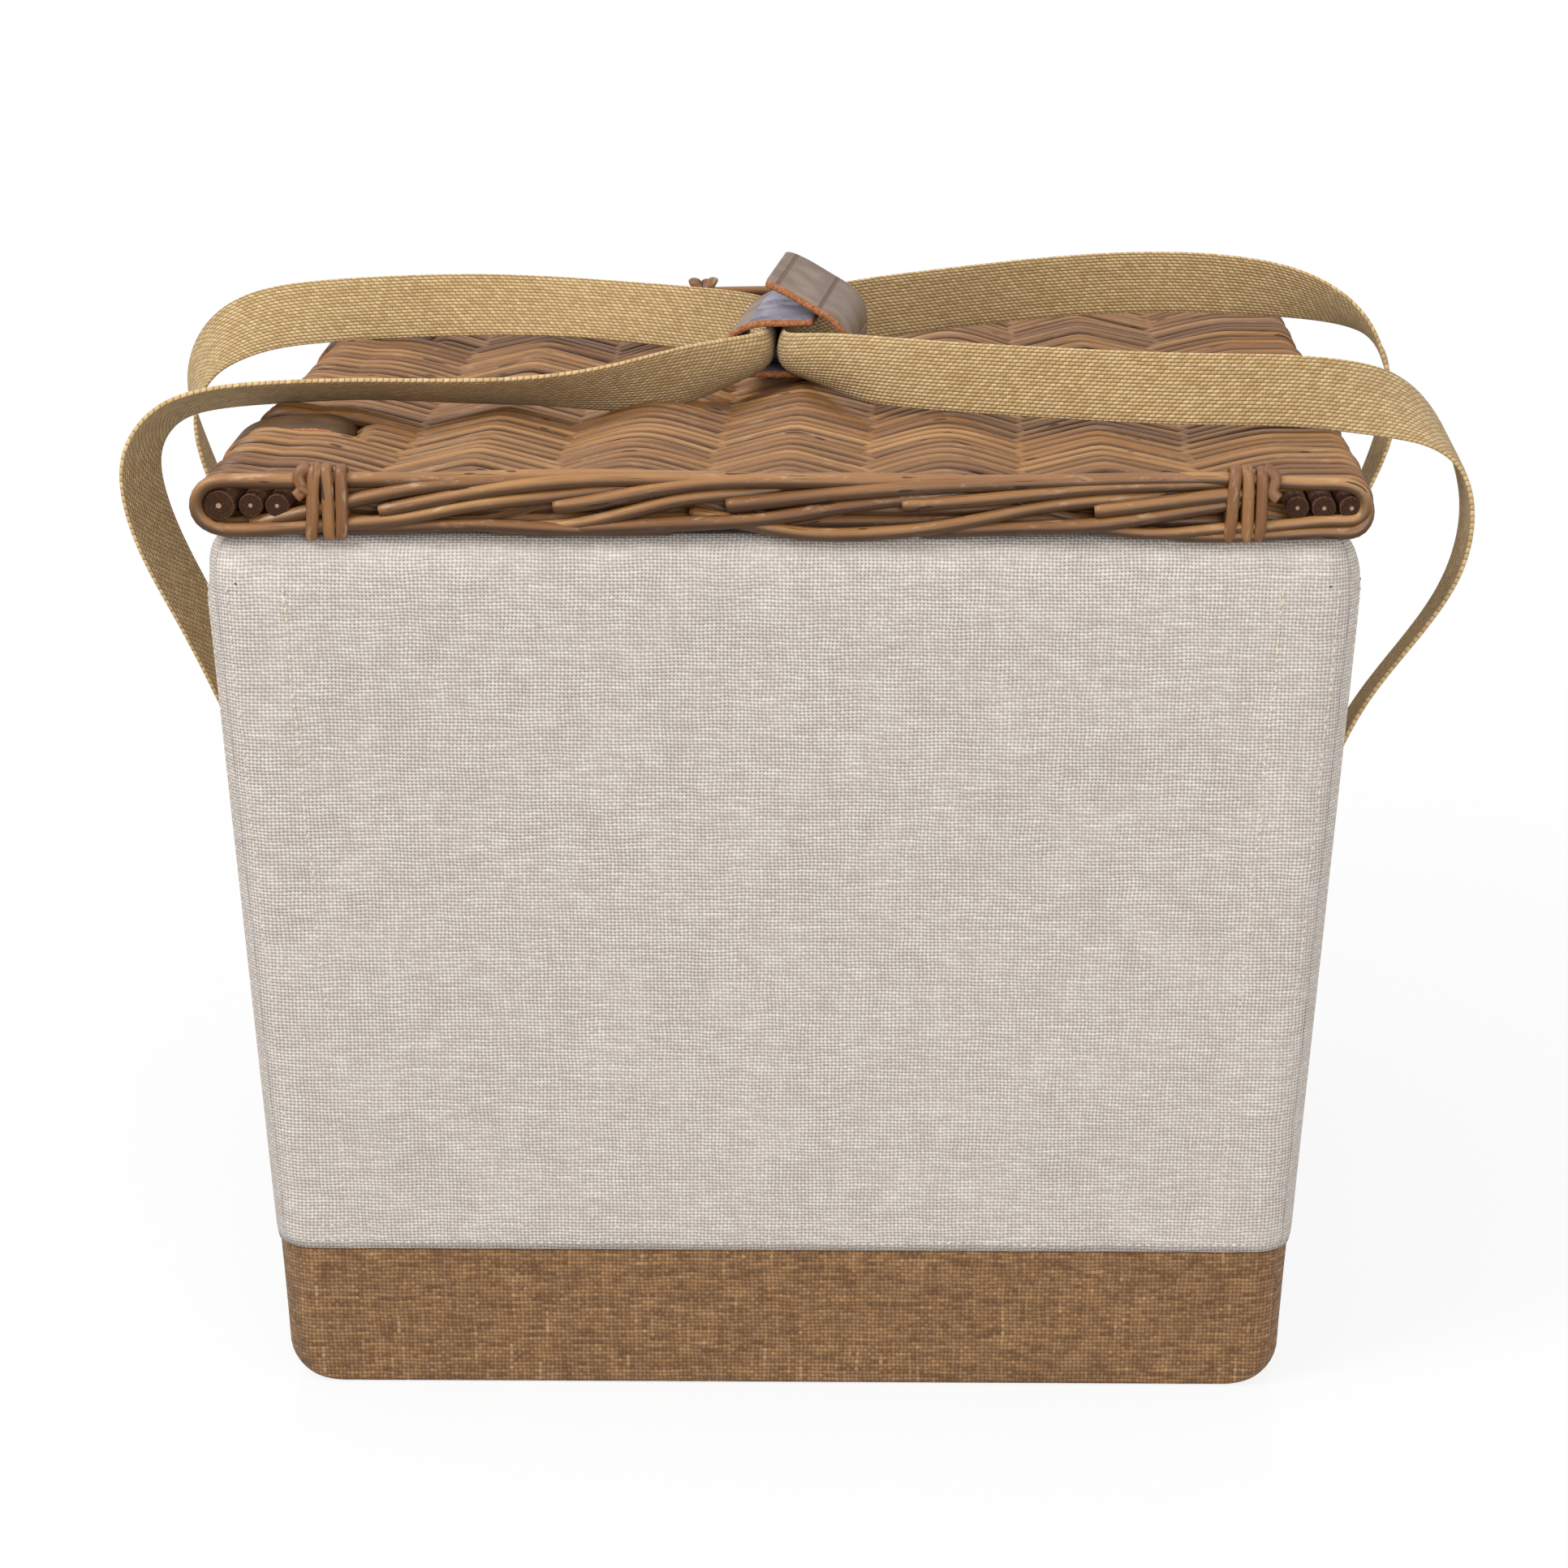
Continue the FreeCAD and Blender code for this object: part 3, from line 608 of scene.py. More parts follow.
def wall(side, x, z, inset=0.0, out=0.0, worn=1.0):
    # x is the running length from the side's middle: straight, then round the corner's arc
    x, z, inset = np.broadcast_arrays(*(np.asarray(q, float) for q in (x, z, inset)))
    wide, deep = sideHalves(side)
    shrink = boxLook["taper"] * np.clip(1 - z / shoulderLow, 0, 1) + inset
    r = cornerAt(z, inset)
    a, b = wide - shrink, deep - shrink
    a, b = a - tuckedUnder(side, z, 0), b - tuckedUnder(side, z, 1)
    straight = a - r
    turn = np.maximum(np.abs(x) - straight, 0) / r
    flat = np.clip(x, -straight, straight)
    # the cloth billows a little between the seams, and puckers beside them
    seed = 11 + 5 * sideTurn[side]
    calm = np.clip((straight - np.abs(x)) / 0.03, 0, 1) * np.clip((z - 0.062) / 0.03, 0, 1)
    calm = calm * np.clip((rimHigh - z) / 0.04, 0, 1)
    billow = boxLook["billow"] * calm * (softNoise(x * 26, z * 22, seed) - 0.6)
    low = np.exp(-((z - 0.066) / 0.010) ** 2) * np.clip((z - bandHigh) / (3 * mm), 0, 1)
    edge = np.exp(-((straight - 0.012 - np.abs(x)) / 0.008) ** 2)
    high = np.exp(-((z - 0.336) / 0.012) ** 2)
    pucker = boxLook["pucker"] * (low * softNoise(x * 420, z * 60, seed + 1)
                                  + edge * softNoise(x * 60, z * 380, seed + 2)
                                  + 1.2 * high * softNoise(x * 190, z * 120, seed + 3))
    crush = np.exp(-((straight - 0.004 - np.abs(x)) / 0.020) ** 2) * np.exp(-((z - 0.338) / 0.010) ** 2)
    pucker = pucker + 0.9 * mm * crush * (softNoise(x * 260, z * 260, seed + 4) - 0.9)
    away = out + worn * (billow + pucker)
    px = flat + np.sign(x) * (r + away) * np.sin(turn)
    py = -(b - r) - (r + away) * np.cos(turn)
    return turned(side, px, py, z)


def sideColumns(side, z, inset, straightSteps=84, arcSteps=7):
    # running lengths across the side: corner arc, straight, corner arc
    straight = straightHalf(side, z, inset)[:, None]
    arc = cornerAt(z, inset)[:, None] * np.linspace(0, math.pi / 4, arcSteps + 1)[None, 1:]
    middle = straight * np.linspace(-1, 1, straightSteps + 1)[None]
    return np.concatenate([-(straight + arc)[:, ::-1], middle, straight + arc], 1)


def sidePiece(name, side, z, inset, rise, out, material, thick):
    # one side of the box from rows of heights and insets; rise is the length up the cloth, for its UV
    z, inset, out = (np.asarray(q, float) for q in (z, inset, out))
    x = sideColumns(side, z, inset)
    points = wall(side, x, z[:, None], inset[:, None], out[:, None])
    quads, places = gridQuads(*x.shape, False)
    uv = np.stack([x[places[:, :, 0], places[:, :, 1]], rise[places[:, :, 0]]], -1)
    piece = makePiece(name, shapeOf(points.reshape(-1, 3), quads, uv), [material])
    skin = piece.modifiers.new("thickness", "SOLIDIFY")
    skin.thickness, skin.offset = thick, -1.0
    return piece


def canvasPanel(side):
    # up the wall, round the shoulder's quarter ellipse, then the hem folded in and down
    t = np.linspace(0, 1, 10)[1:] * math.pi / 2
    h = np.linspace(0, 1, 5)[1:] * math.pi
    straight = np.linspace(bandHigh, shoulderLow, 66)
    roll = boxLook["hem"] / 2
    z = np.concatenate([straight, shoulderLow + (boxLook["shoulder"] - 0.3 * mm) * np.sin(t),
                        rimHigh - 0.3 * mm - roll * (1 - np.cos(h)) * 0.9, [rimHigh - 9 * mm]])
    inset = np.concatenate([np.zeros(66), boxLook["inset"] * (1 - np.cos(t)),
                            boxLook["inset"] + roll * (1 - np.cos(h)) * 0.93, [boxLook["inset"] + boxLook["hem"]]])
    out = np.interp(z, [bandHigh, bandHigh + 1 * mm, shoulderLow - 10 * mm, shoulderLow], [0.7, 1.2, 0.8, 0.0]) * mm
    steps = np.hypot(np.diff(z), np.diff(inset))
    rise = z[0] + np.concatenate([[0.0], np.cumsum(steps)])
    piece = sidePiece(f"{side}CanvasCloth", side, z, inset, rise, out, cloth, boxLook["cloth"])
    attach(piece, "basket")
    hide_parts(f"{side}_canvas_panel")
    width = 2 * (sideHalves(side)[0])
    return piece


def footBand(side):
    # brown foot: a straight wall whose lowest rows follow the roll and turn in at the floor
    z = np.concatenate([[0.3, 0.3, 0.45, 0.8, 1.4, 2.2, 3.2, 4.5, 6.2, 8.4, 11, 14, 18], np.linspace(22, 59.8, 13)]) * mm
    inset = np.concatenate([[5 * mm], np.zeros(25)])
    rise = np.concatenate([[0.0], np.cumsum(np.hypot(np.diff(z), np.diff(inset)))])
    piece = sidePiece(f"{side}FootCloth", side, z, inset, rise, np.zeros(len(z)), footCloth, boxLook["cloth"])
    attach(piece, "basket")
    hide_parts(f"{side}_foot_band")
    2 * sideHalves(side)[0]
    return piece


# Stitches, each a short bead of thread

stitchLook = {"pitch": 3.7 * mm, "length": 2.8 * mm, "thick": 0.47 * mm, "steps": 6, "sides": 6}


def stitches(start, finish, away):
    # start and finish are each stitch's ends, away its outward direction: an arc that dips at both ends
    t = np.linspace(0, 1, stitchLook["steps"])[None, :, None]
    line = start[:, None] * (1 - t) + finish[:, None] * t
    lift = (np.sin(math.pi * t) ** 0.6 - 0.45) * stitchLook["thick"] * 1.7
    paths = line + lift * away[:, None]
    radii = stitchLook["thick"] * (0.45 + 0.55 * np.sin(math.pi * np.linspace(0.06, 0.94, stitchLook["steps"])))
    return tubes(paths, radii[None], stitchLook["sides"], away[:, None] + np.zeros_like(paths))


def wallStitches(side, xs, zs, count):
    # stitches along a line on a side; xs and zs are functions of 0..1
    k = (np.arange(count) + 0.5) / count
    half = 0.5 * stitchLook["length"] / stitchLook["pitch"] / count
    ends = [wall(side, xs(k + d), zs(k + d)) for d in (-half, half)]
    outward = wall(side, xs(k), zs(k), out=1.0, worn=0) - wall(side, xs(k), zs(k), worn=0)
    lift = outward * 0.45 * mm
    return stitches(ends[0] + lift, ends[1] + lift, unit(outward))


def sideStitches(side):
    # two rows above the foot seam, then a row either side of each corner
    rows = []
    for height, inner in ((63 * mm, 0.0), (70 * mm, 8 * mm)):
        reach = float(straightHalf(side, np.array(height))) + 6 * mm - inner
        rows.append(wallStitches(side, lambda k: (2 * k - 1) * reach,
                                 lambda k: height + 0.3 * mm * np.sin(k * 40), int(2 * reach / stitchLook["pitch"])))
    for edge in (-1, 1):
        for inner in (14 * mm, -7 * mm):
            low, high = 71 * mm, 331 * mm
            rows.append(wallStitches(
                side, lambda k: edge * (straightHalf(side, low + (high - low) * k) - inner
                                        + 0.4 * mm * np.sin(k * 31)),
                lambda k: low + (high - low) * k, int((high - low) / stitchLook["pitch"])))
    piece = makePiece(f"{side}Topstitch", together(rows), [paleThread])
    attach(piece, "basket")
    return piece


def needleHoles(side):
    # pricks beside the corner seam: tiny dark dimples, one to each stitch, coloured as the shade inside each prick
    rows = []
    for edge in (-1, 1):
        k = np.linspace(0, 1, 84)
        z = 64 * mm + 268 * mm * k
        x = edge * (straightHalf(side, z) + cornerAt(z) * 0.20)
        seat = wall(side, x, z, out=0.46 * mm)
        outward = unit(wall(side, x, z, out=1.0, worn=0) - wall(side, x, z, worn=0))
        paths = seat[:, None] + outward[:, None] * (np.array([-0.25, 0.0])[None, :, None] * mm)
        rows.append(tubes(paths, np.full((1, 2), 0.42 * mm), 6, np.array([0, 0, 1.0])))
    piece = makePiece(f"{side}NeedleHoles", together(rows), [holeShadeFace])
    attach(piece, "basket")
    return piece


# painted shade: the needle holes take the dark of the shade inside them
holeShadeFace = hidden("needleHole", (44, 36, 30), (64, 54, 46), 900.0, 0.8)
for sideName in sideTurn:
    canvasPanel(sideName)
    footBand(sideName)
    sideStitches(sideName)
    needleHoles(sideName)
print("canvas box made")


def boxRings(z, inset, straightSteps=24, arcSteps=4):
    # closed outlines of the box at these heights, side after side
    z, inset = (np.asarray(q, float) for q in (z, inset))
    rings = []
    for side in sideTurn:
        x = sideColumns(side, z, inset, straightSteps, arcSteps)[:, :-1]
        rings.append(wall(side, x, z[:, None], inset[:, None], worn=0))
    return np.concatenate(rings, 1)


def closedFloor(name, rings, shares, material, node):
    # the last outline shrinks to the middle; the UV is the running length round and down
    floor = rings[-1][None] * np.array([1.0, 1.0, 0.0]) * np.asarray(shares)[:, None, None]
    floor[..., 2] = rings[-1][..., 2].mean()
    points = np.concatenate([rings, floor])
    rows, cols = points.shape[:2]
    quads, places = gridQuads(rows, cols, True)
    stepsRound = np.linalg.norm(np.diff(points[0], axis=0, append=points[0][:1]), axis=1)
    around = np.concatenate([[0.0], np.cumsum(stepsRound)])
    down = np.concatenate([[0.0], np.cumsum(np.linalg.norm(np.diff(points[:, 6], axis=0), axis=1))])
    uv = np.stack([around[places[:, :, 1]], down[places[:, :, 0]]], -1)
    level = np.repeat(places[:, :, 0].max(1) >= len(rings), 4).reshape(-1, 4, 1)
    flat = points.reshape(-1, 3)
    uv = np.where(level, flat[quads][..., :2], uv)
    middle = np.concatenate([flat, points[-1].mean(0, keepdims=True)])
    j = np.arange(cols)
    tris = np.stack([np.full(cols, len(flat)), (rows - 1) * cols + j, (rows - 1) * cols + (j + 1) % cols], -1)
    shape = shapeOf(middle, quads[:, ::-1], uv[:, ::-1], tris[:, ::-1], middle[tris[:, ::-1]][..., :2])
    piece = makePiece(name, shape, [material])
    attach(piece, "basket")
    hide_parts(node)
    return piece


def liningBag():
    # four walls from the rim down to a level floor
    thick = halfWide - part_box("lining")[1].x
    floor = 5.4 * mm
    z = np.concatenate([np.linspace(rimHigh - 2.5 * mm, shoulderLow, 6), np.linspace(shoulderLow, 30 * mm, 22)[1:],
                        [24 * mm, 19 * mm, 15 * mm, 12 * mm, 9.5 * mm, 7.5 * mm, 6 * mm, floor]])
    inset = np.concatenate([boxLook["inset"] * np.linspace(1, 0, 6) ** 1.2, np.zeros(27), [0.5 * mm, 2 * mm]]) + thick
    return closedFloor("liningCloth", boxRings(z, inset), np.linspace(0.95, 0.05, 9), innerCloth,
                       "lining")


def bottomPlate(name, node, heights, insets, material):
    # a level plate whose rim follows the rolled foot
    rings = boxRings(np.array(heights) * mm, np.array(insets) * mm)
    return closedFloor(name, rings[::-1][:, ::-1], np.linspace(0.9, 0.05, 8), material, node)


liningSkin = liningBag().modifiers.new("thickness", "SOLIDIFY")
liningSkin.thickness, liningSkin.offset = 0.8 * mm, -1.0


# The woven lid

matLow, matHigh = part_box("willow_weave")
lidMid = (matLow.z + matHigh.z) / 2
lidDepth = -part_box("front_left_binding")[0].y
sticks = {}
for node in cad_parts:
    if node.endswith("_stick") or node.startswith("lid_stick"):
        low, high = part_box(node)
        radius = (high.z - low.z) / 2
        sticks[node] = {"front": low.x + radius, "rear": high.x - radius, "radius": radius, "reach": high.y}


def stickAt(node, y):
    # where a stick's middle is at this depth
    s = sticks[node]
    return s["front"] + (s["rear"] - s["front"]) * (y + s["reach"]) / (2 * s["reach"])


stickLook = {"sides": 28, "steps": 40}


def stickPieces():
    # each stick is a tube down its own slightly wavering line, its ends a little smaller
    for k, (node, s) in enumerate(sorted(sticks.items())):
        reach = s["reach"] - 0.3 * mm
        y = np.concatenate([[-reach, -reach + 0.5 * mm], np.linspace(-reach + 6 * mm, reach - 6 * mm, 36),
                            [reach - 0.5 * mm, reach]])
        wobble = 0.25 * mm * softNoise(y * 30, 0 * y, 40 + k)
        path = np.stack([stickAt(node, y) + wobble, y, lidMid + 0 * y + wobble * 0.5], -1)
        radii = s["radius"] * (0.96 + 0.03 * softNoise(y * 60, 0 * y, 60 + k))
        radii[[0, -1]] *= 0.93
        shape = tubes(path[None], radii[None], stickLook["sides"], (1, 0, 0), tone=[k / 11])
        piece = makePiece(node.replace("_stick", "Stick").replace("_", ""), shape, [bark, stickFace], triFinish=1)
        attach(piece, "lid")
        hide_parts(node)


stickPieces()

weaveLook = {"rows": 89, "rod": 2.75 * mm, "rise": 7.2 * mm, "step": 3.4 * mm, "sides": 10, "wobble": 0.5 * mm,
             "flat": 1.22, "keen": {1: 0.90, -1: 0.992}, "slotReach": 43.5 * mm}
tabs = [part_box("front_hinge_tab"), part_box("rear_hinge_tab")]


def slotEdge(y):
    # where rods begin beside a hinge tab; None where no tab lies on the lid
    for low, high in tabs:
        if low.y - 2.0 * mm < y < high.y + 2.0 * mm:
            return low.x + weaveLook["slotReach"]
    return None


def weaveHeight(x, y, sign, rise, keen):
    # plain weave over the sticks: the turning angle grows by half a turn from stick to stick;
    # the nearer keen is to 1, the sharper the rod bends over its sticks
    left = [stickAt("left_inner_stick", y)]
    marks = left + [stickAt(f"lid_stick_{i}", y) for i in range(1, 6)] + [stickAt("right_inner_stick", y)]
    angle = np.interp(x, marks, np.arange(7.0))
    wave = np.arcsin(keen * np.cos(math.pi * angle)) / math.asin(keen)
    return sign * rise * wave


def weaveRods(sign, seed):
    # every second row of the weave; over rods hook round the outer sticks to the next row's level
    draw = np.random.default_rng(seed)
    pitch = (matHigh.y - matLow.y - 5 * mm) / (weaveLook["rows"] - 1)
    first = 0 if sign > 0 else 1
    shapes = []
    for row in range(first, weaveLook["rows"], 2):
        y0 = matLow.y + 2.5 * mm + pitch * row
        xl, xr = stickAt("left_outer_stick", y0), stickAt("right_outer_stick", y0)
        rl, rr = sticks["left_outer_stick"]["radius"], sticks["right_outer_stick"]["radius"]
        thin = draw.uniform(0.86, 1.10)
        slot = slotEdge(y0)
        xl = xl if slot is None else slot
        x = np.linspace(xl, xr, int((xr - xl) / weaveLook["step"]))
        y = y0 + weaveLook["wobble"] * softNoise(x * 50, 0 * x, seed * 1000 + row)
        wave = weaveHeight(x, y0, sign, weaveLook["rise"], weaveLook["keen"][sign])
        edgeLift = np.clip((stickAt("left_middle_stick", y0) - x) / 10e-3 + 0.2, 0, 1) * 1.4 * mm
        z = lidMid + wave + sign * edgeLift + 0.4 * mm * softNoise(x * 45, 0 * x, seed * 2000 + row)
        if slot is not None:
            z = z - sign * 4.5 * mm * np.clip(1 - (x - xl) / (9 * mm), 0, 1) ** 2
        body = np.stack([x, y, z], -1)
        parts = [body]
        if sign > 0:
            rod = weaveLook["rod"] * thin
            a = np.linspace(0, math.pi, 15)[1:]
            leftZ, rightZ = z[0] - lidMid, z[-1] - lidMid
            wideL, wideR = rl + rod * 0.95, rr + rod * 0.95
            hookL = np.stack([xl - wideL * np.sin(a), y[0] + pitch * a / math.pi * (row < weaveLook["rows"] - 1),
                              lidMid + leftZ * np.cos(a)], -1)
            tailL = np.stack([xl + np.array([4, 10, 16]) * mm, hookL[-1, 1] + np.zeros(3),
                              lidMid - leftZ + np.array([0.0, 0.3, 0.8]) * mm], -1)
            hookR = np.stack([xr + wideR * np.sin(a), y[-1] - pitch * a / math.pi * (row > 0),
                              lidMid + rightZ * np.cos(a)], -1)
            tailR = np.stack([xr - np.array([4, 10, 16]) * mm, hookR[-1, 1] + np.zeros(3),
                              lidMid - rightZ + np.array([0.0, 0.3, 0.8]) * mm], -1)
            parts = [tailL[::-1], hookL[::-1], body, hookR, tailR] if slot is None else [body, hookR, tailR]
        path = np.concatenate(parts)
        taper = 1 + 0.12 * draw.choice([-1, 1]) * np.linspace(-1, 1, len(path))
        radii = weaveLook["rod"] * thin * taper * (1 + 0.04 * softNoise(path[:, 0] * 90, 0 * path[:, 0], row))
        tone = draw.uniform(0, 1)
        shapes.append(tubes(path[None], radii[None], weaveLook["sides"], (0, 1, 0), 1 / weaveLook["flat"], [tone]))
    return together(shapes)


def rodPiece(name, shape, skin, slotName, *nodes):
    # rods of the lid, with their cut ends in their own finish
    piece = makePiece(name, shape, [skin, rodFace], triFinish=1)
    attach(piece, "lid")
    if nodes:
        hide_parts(*nodes)
    return piece


rodPiece("weaveOverRods", weaveRods(1, 3), rodSkin, "willow_rod", "willow_weave")
rodPiece("weaveUnderRods", weaveRods(-1, 4), rodSkin, "willow_rod")
print("weave made")

# Border rods of the front edge: x, height from the lid's middle, and how far behind the outer face.
borderRods = [
    (2.8, [(-20, 9.2, 6.5), (-51, 10.4, 3.6), (-95, 10.6, 3.0), (-132, 9.6, 2.6), (-160, 9.4, 2.6), (-183, 8.8, 2.6),
           (-204, 9.0, 2.4), (-212, 7.2, 2.2), (-215.6, 1.6, 2.0), (-214.6, -4.4, 2.0), (-209, -8.4, 2.0),
           (-200, -9.4, 2.0), (-178, -8.0, 1.6), (-157, -6.4, 0.8), (-142, -5.0, 0.0), (-120, -0.6, 0.0),
           (-81, 4.0, 1.4), (-60, 6.4, 3.4), (-45, 7.0, 6.0)]),
    (2.6, [(-196, -7.4, 5.6), (-184, -4.8, 3.2), (-172, -1.6, 1.6), (-157, 2.2, 1.0), (-138, 6.2, 0.6), (-111, 8.8, 1.8),
           (-79, 10.4, 3.4), (-50, 10.8, 5.4)]),
    (2.7, [(-148, -1.9, 0.8), (-134, 1.2, 0.4), (-115, 4.9, 0.2), (-79, 9.4, 1.2), (-30, 9.8, 2.2), (10, 9.9, 3.2),
           (60, 9.4, 5.0)]),
    (2.5, [(-166, -8.4, 4.6), (-150, -8.4, 2.4), (-133, -7.6, 1.6), (-112, -7.0, 0.8), (-90, -7.8, 0.4), (-70, -8.8, 1.4),
           (-40, -9.0, 4.2)]),
    (2.7, [(-84, 0.0, 0.6), (-78, 0.6, 0.2), (-60, 3.9, 0.0), (-28, 8.8, 0.6), (10, 9.6, 1.4), (60, 9.2, 2.6),
           (112, 9.6, 4.4), (130, 9.6, 6.0)]),
    (2.6, [(-108, -8.8, 5.6), (-96, -8.6, 3.2), (-78, -6.9, 1.4), (-56, -1.9, 0.4), (-38, 2.4, 1.0), (-17, 4.6, 2.8),
           (0, 5.6, 5.6)]),
    (2.8, [(-20.5, 0.6, 0.6), (-8, 2.0, 0.2), (10, 4.2, 0.0), (60, 7.8, 0.8), (112, 9.8, 1.6), (158, 10.2, 2.8),
           (176, 9.4, 5.0)]),
    (2.7, [(-96, -9.4, 5.4), (-84, -8.8, 2.6), (-43, -6.6, 0.8), (-7, -4.2, 0.0), (20, -0.2, 0.2), (49, 3.2, 1.6),
           (70, 5.2, 4.6)]),
    (2.6, [(-34, -3.6, 6.2), (-24, -4.6, 4.0), (-12, -6.6, 2.0), (8, -9.8, 0.8), (28, -10.0, 0.4), (61, -6.6, 0.2),
           (90, -0.8, 0.8), (120, 2.8, 2.0), (140, 4.0, 4.6)]),
    (2.6, [(44, 0.8, 0.6), (60, 2.0, 0.2), (80, 3.8, 0.2), (114, 7.0, 1.0), (141, 8.2, 1.6), (168, 9.0, 3.8)]),
    (2.6, [(50, -9.4, 5.0), (60, -9.0, 2.8), (79, -8.0, 1.2), (115, -6.2, 0.2), (141, -2.4, 0.2), (162, 1.0, 1.2),
           (178, 2.6, 3.8)]),
    (2.7, [(114.5, -1.2, 0.4), (133, 1.2, 0.0), (150, 3.4, 0.2), (162, 4.8, 0.6), (176, 5.4, 2.8)]),
    (2.4, [(112, 8.6, 5.2), (140, 10.4, 3.2), (162, 10.6, 2.4), (182, 9.6, 2.2), (198, 9.0, 2.2), (206, 8.6, 2.2),
           (212.4, 5.4, 2.2), (213.8, 0.6, 2.2), (212.4, -3.2, 2.2), (204, -4.9, 2.2), (194, -5.4, 2.0),
           (184, -6.4, 1.4), (162, -7.6, 0.8), (137, -9.6, 0.8), (120, -8.4, 1.8), (108, -7.6, 4.6)]),
    (2.3, [(214.6, 2.0, 6.6), (214.8, -3.6, 3.4), (212, -7.8, 2.0), (203, -9.2, 1.6), (184, -9.8, 1.4), (163, -10.6, 1.0),
           (151, -10.6, 1.6), (133, -9.4, 4.8)]),
    (2.9, [(-176, -1.0, 8.2), (-120, -2.6, 7.6), (-40, 0.8, 7.4), (60, -2.2, 7.6), (130, 0.6, 7.6), (178, -1.0, 8.2)]),
    (2.9, [(-176, 5.0, 8.4), (-100, 3.6, 7.8), (-20, 5.6, 7.6), (80, 3.0, 7.8), (178, 5.0, 8.4)]),
    (2.9, [(-176, -7.0, 8.4), (-90, -6.2, 7.8), (20, -6.8, 7.8), (100, -6.0, 7.8), (178, -7.0, 8.4)]),
]


def borderPiece(name, end, rods, *nodes):
    # each rod is a smooth line through its few points; the rear edge is the front turned half round
    draw = np.random.default_rng(21 if end < 0 else 22)
    lean = stickAt("lid_stick_3", lidDepth) if end > 0 else 0.0
    shapes = []
    for radius, places in rods:
        p = np.array(places) * mm
        p = splineThrough(p, int(np.linalg.norm(np.diff(p, axis=0), axis=1).sum() / (2.6 * mm)) + 8)
        face = lidDepth - radius * mm - 0.2 * mm
        y = -(face - p[:, 2])
        path = np.stack([p[:, 0], y, lidMid + p[:, 1]], -1)
        if end > 0:
            path = path * np.array([-1, -1, 1]) + np.array([lean, 0, 0])
        size = radius * mm * (1 + 0.05 * softNoise(path[:, 0] * 90, path[:, 2] * 90, len(shapes)))
        size = size * np.linspace(1.05, 0.90, len(size))
        size[[0, -1]] *= 0.90
        shapes.append(tubes(path[None], size[None], 14, (0, 1, 0), tone=[draw.uniform(0.1, 1)]))
    return rodPiece(name, together(shapes), borderSkin, "willow_rod", *nodes)


borderPiece("frontBorderRods", -1, borderRods, "front_border")
borderPiece("rearBorderRods", 1, borderRods, "rear_border")


def wrapLoops(name, node, places, tuck=0):
    # flattened willow wound round the border: rounded oblongs side by side, with a tucked end
    low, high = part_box(node)
    end = -1 if low.y < 0 else 1
    centre = (low + high) / 2
    deep, tall = (high.y - low.y) / 2, (high.z - low.z) / 2
    shapes = []
    draw = np.random.default_rng(len(name) * 7)
    for k, (x, slant, width) in enumerate(places):
        a = np.linspace(0, 2 * math.pi, 49) + math.pi + 0.3 * k
        power = 0.52
        oblong = lambda w: np.sign(w) * np.abs(w) ** power
        c, s = np.cos(a), np.sin(a)
        squeeze = 1 - 0.05 * (k % 2)
        path = np.stack([centre.x + (x + slant * s + 0.25 * np.sin(a * 2 + k)) * mm,
                         centre.y + end * (deep - 1.3 * mm) * oblong(c) * squeeze,
                         centre.z + (tall - 1.5 * mm) * oblong(s) * (1 - 0.02 * k)], -1)
        radii = np.full((1, 49), width * mm)
        radii = radii * (1 + 0.07 * softNoise(a[None] * 2.2, 0 * a[None], 5 * k + len(name)))
        shapes.append(tubes(path[None], radii, 12, (1, 0, 0), 0.62, [draw.uniform(0, 0.7)]))
    if tuck:
        side = tuck
        face = centre.y + end * (deep - 1.2 * mm)
        line = np.array([(side * 6.0, 13.4), (side * 8.4, 12.4), (side * 10.2, 9.6), (side * 9.0, 5.4),
                         (side * 11.4, 2.4)])
        line = splineThrough(np.column_stack([line, np.zeros(5)]), 24) * mm
        path = np.stack([centre.x + line[:, 0], face - end * np.linspace(2.0, 0.2, 24) * mm,
                         centre.z + line[:, 1]], -1)
        shapes.append(tubes(path[None], np.full((1, 24), 2.3 * mm), 12, (1, 0, 0), 0.6, [0.25]))
        cross = np.array([(side * 9.6, 5.8, 0.2), (side * 7.4, 4.6, 0.6), (side * 4.6, 1.8, 2.6)])
        cross = splineThrough(cross, 14) * mm
        path = np.stack([centre.x + cross[:, 0], face - end * cross[:, 2], centre.z + cross[:, 1]], -1)
        if side < 0:
            shapes.append(tubes(path[None], np.full((1, 14), 2.2 * mm), 12, (0, 1, 0), 0.7, [0.1]))
    return rodPiece(name, together(shapes), bindingSkin, "willow_binding", node)


threeWraps = [(-5.2, 0.9, 2.35), (0.2, -0.4, 2.3), (5.2, 0.4, 2.2)]
wrapLoops("frontLeftWraps", "front_left_binding", threeWraps, -1)
wrapLoops("frontRightWraps", "front_right_binding", threeWraps, 1)
wrapLoops("rearLeftWraps", "rear_left_binding", threeWraps)
wrapLoops("rearRightWraps", "rear_right_binding", threeWraps)
wrapLoops("rearCrossedTie", "rear_crossed_tie", [(-1.0, 5.6, 2.5), (1.0, -5.6, 2.5), (0.0, 1.5, 2.3)])
print("lid made")

# Leather hinge tabs


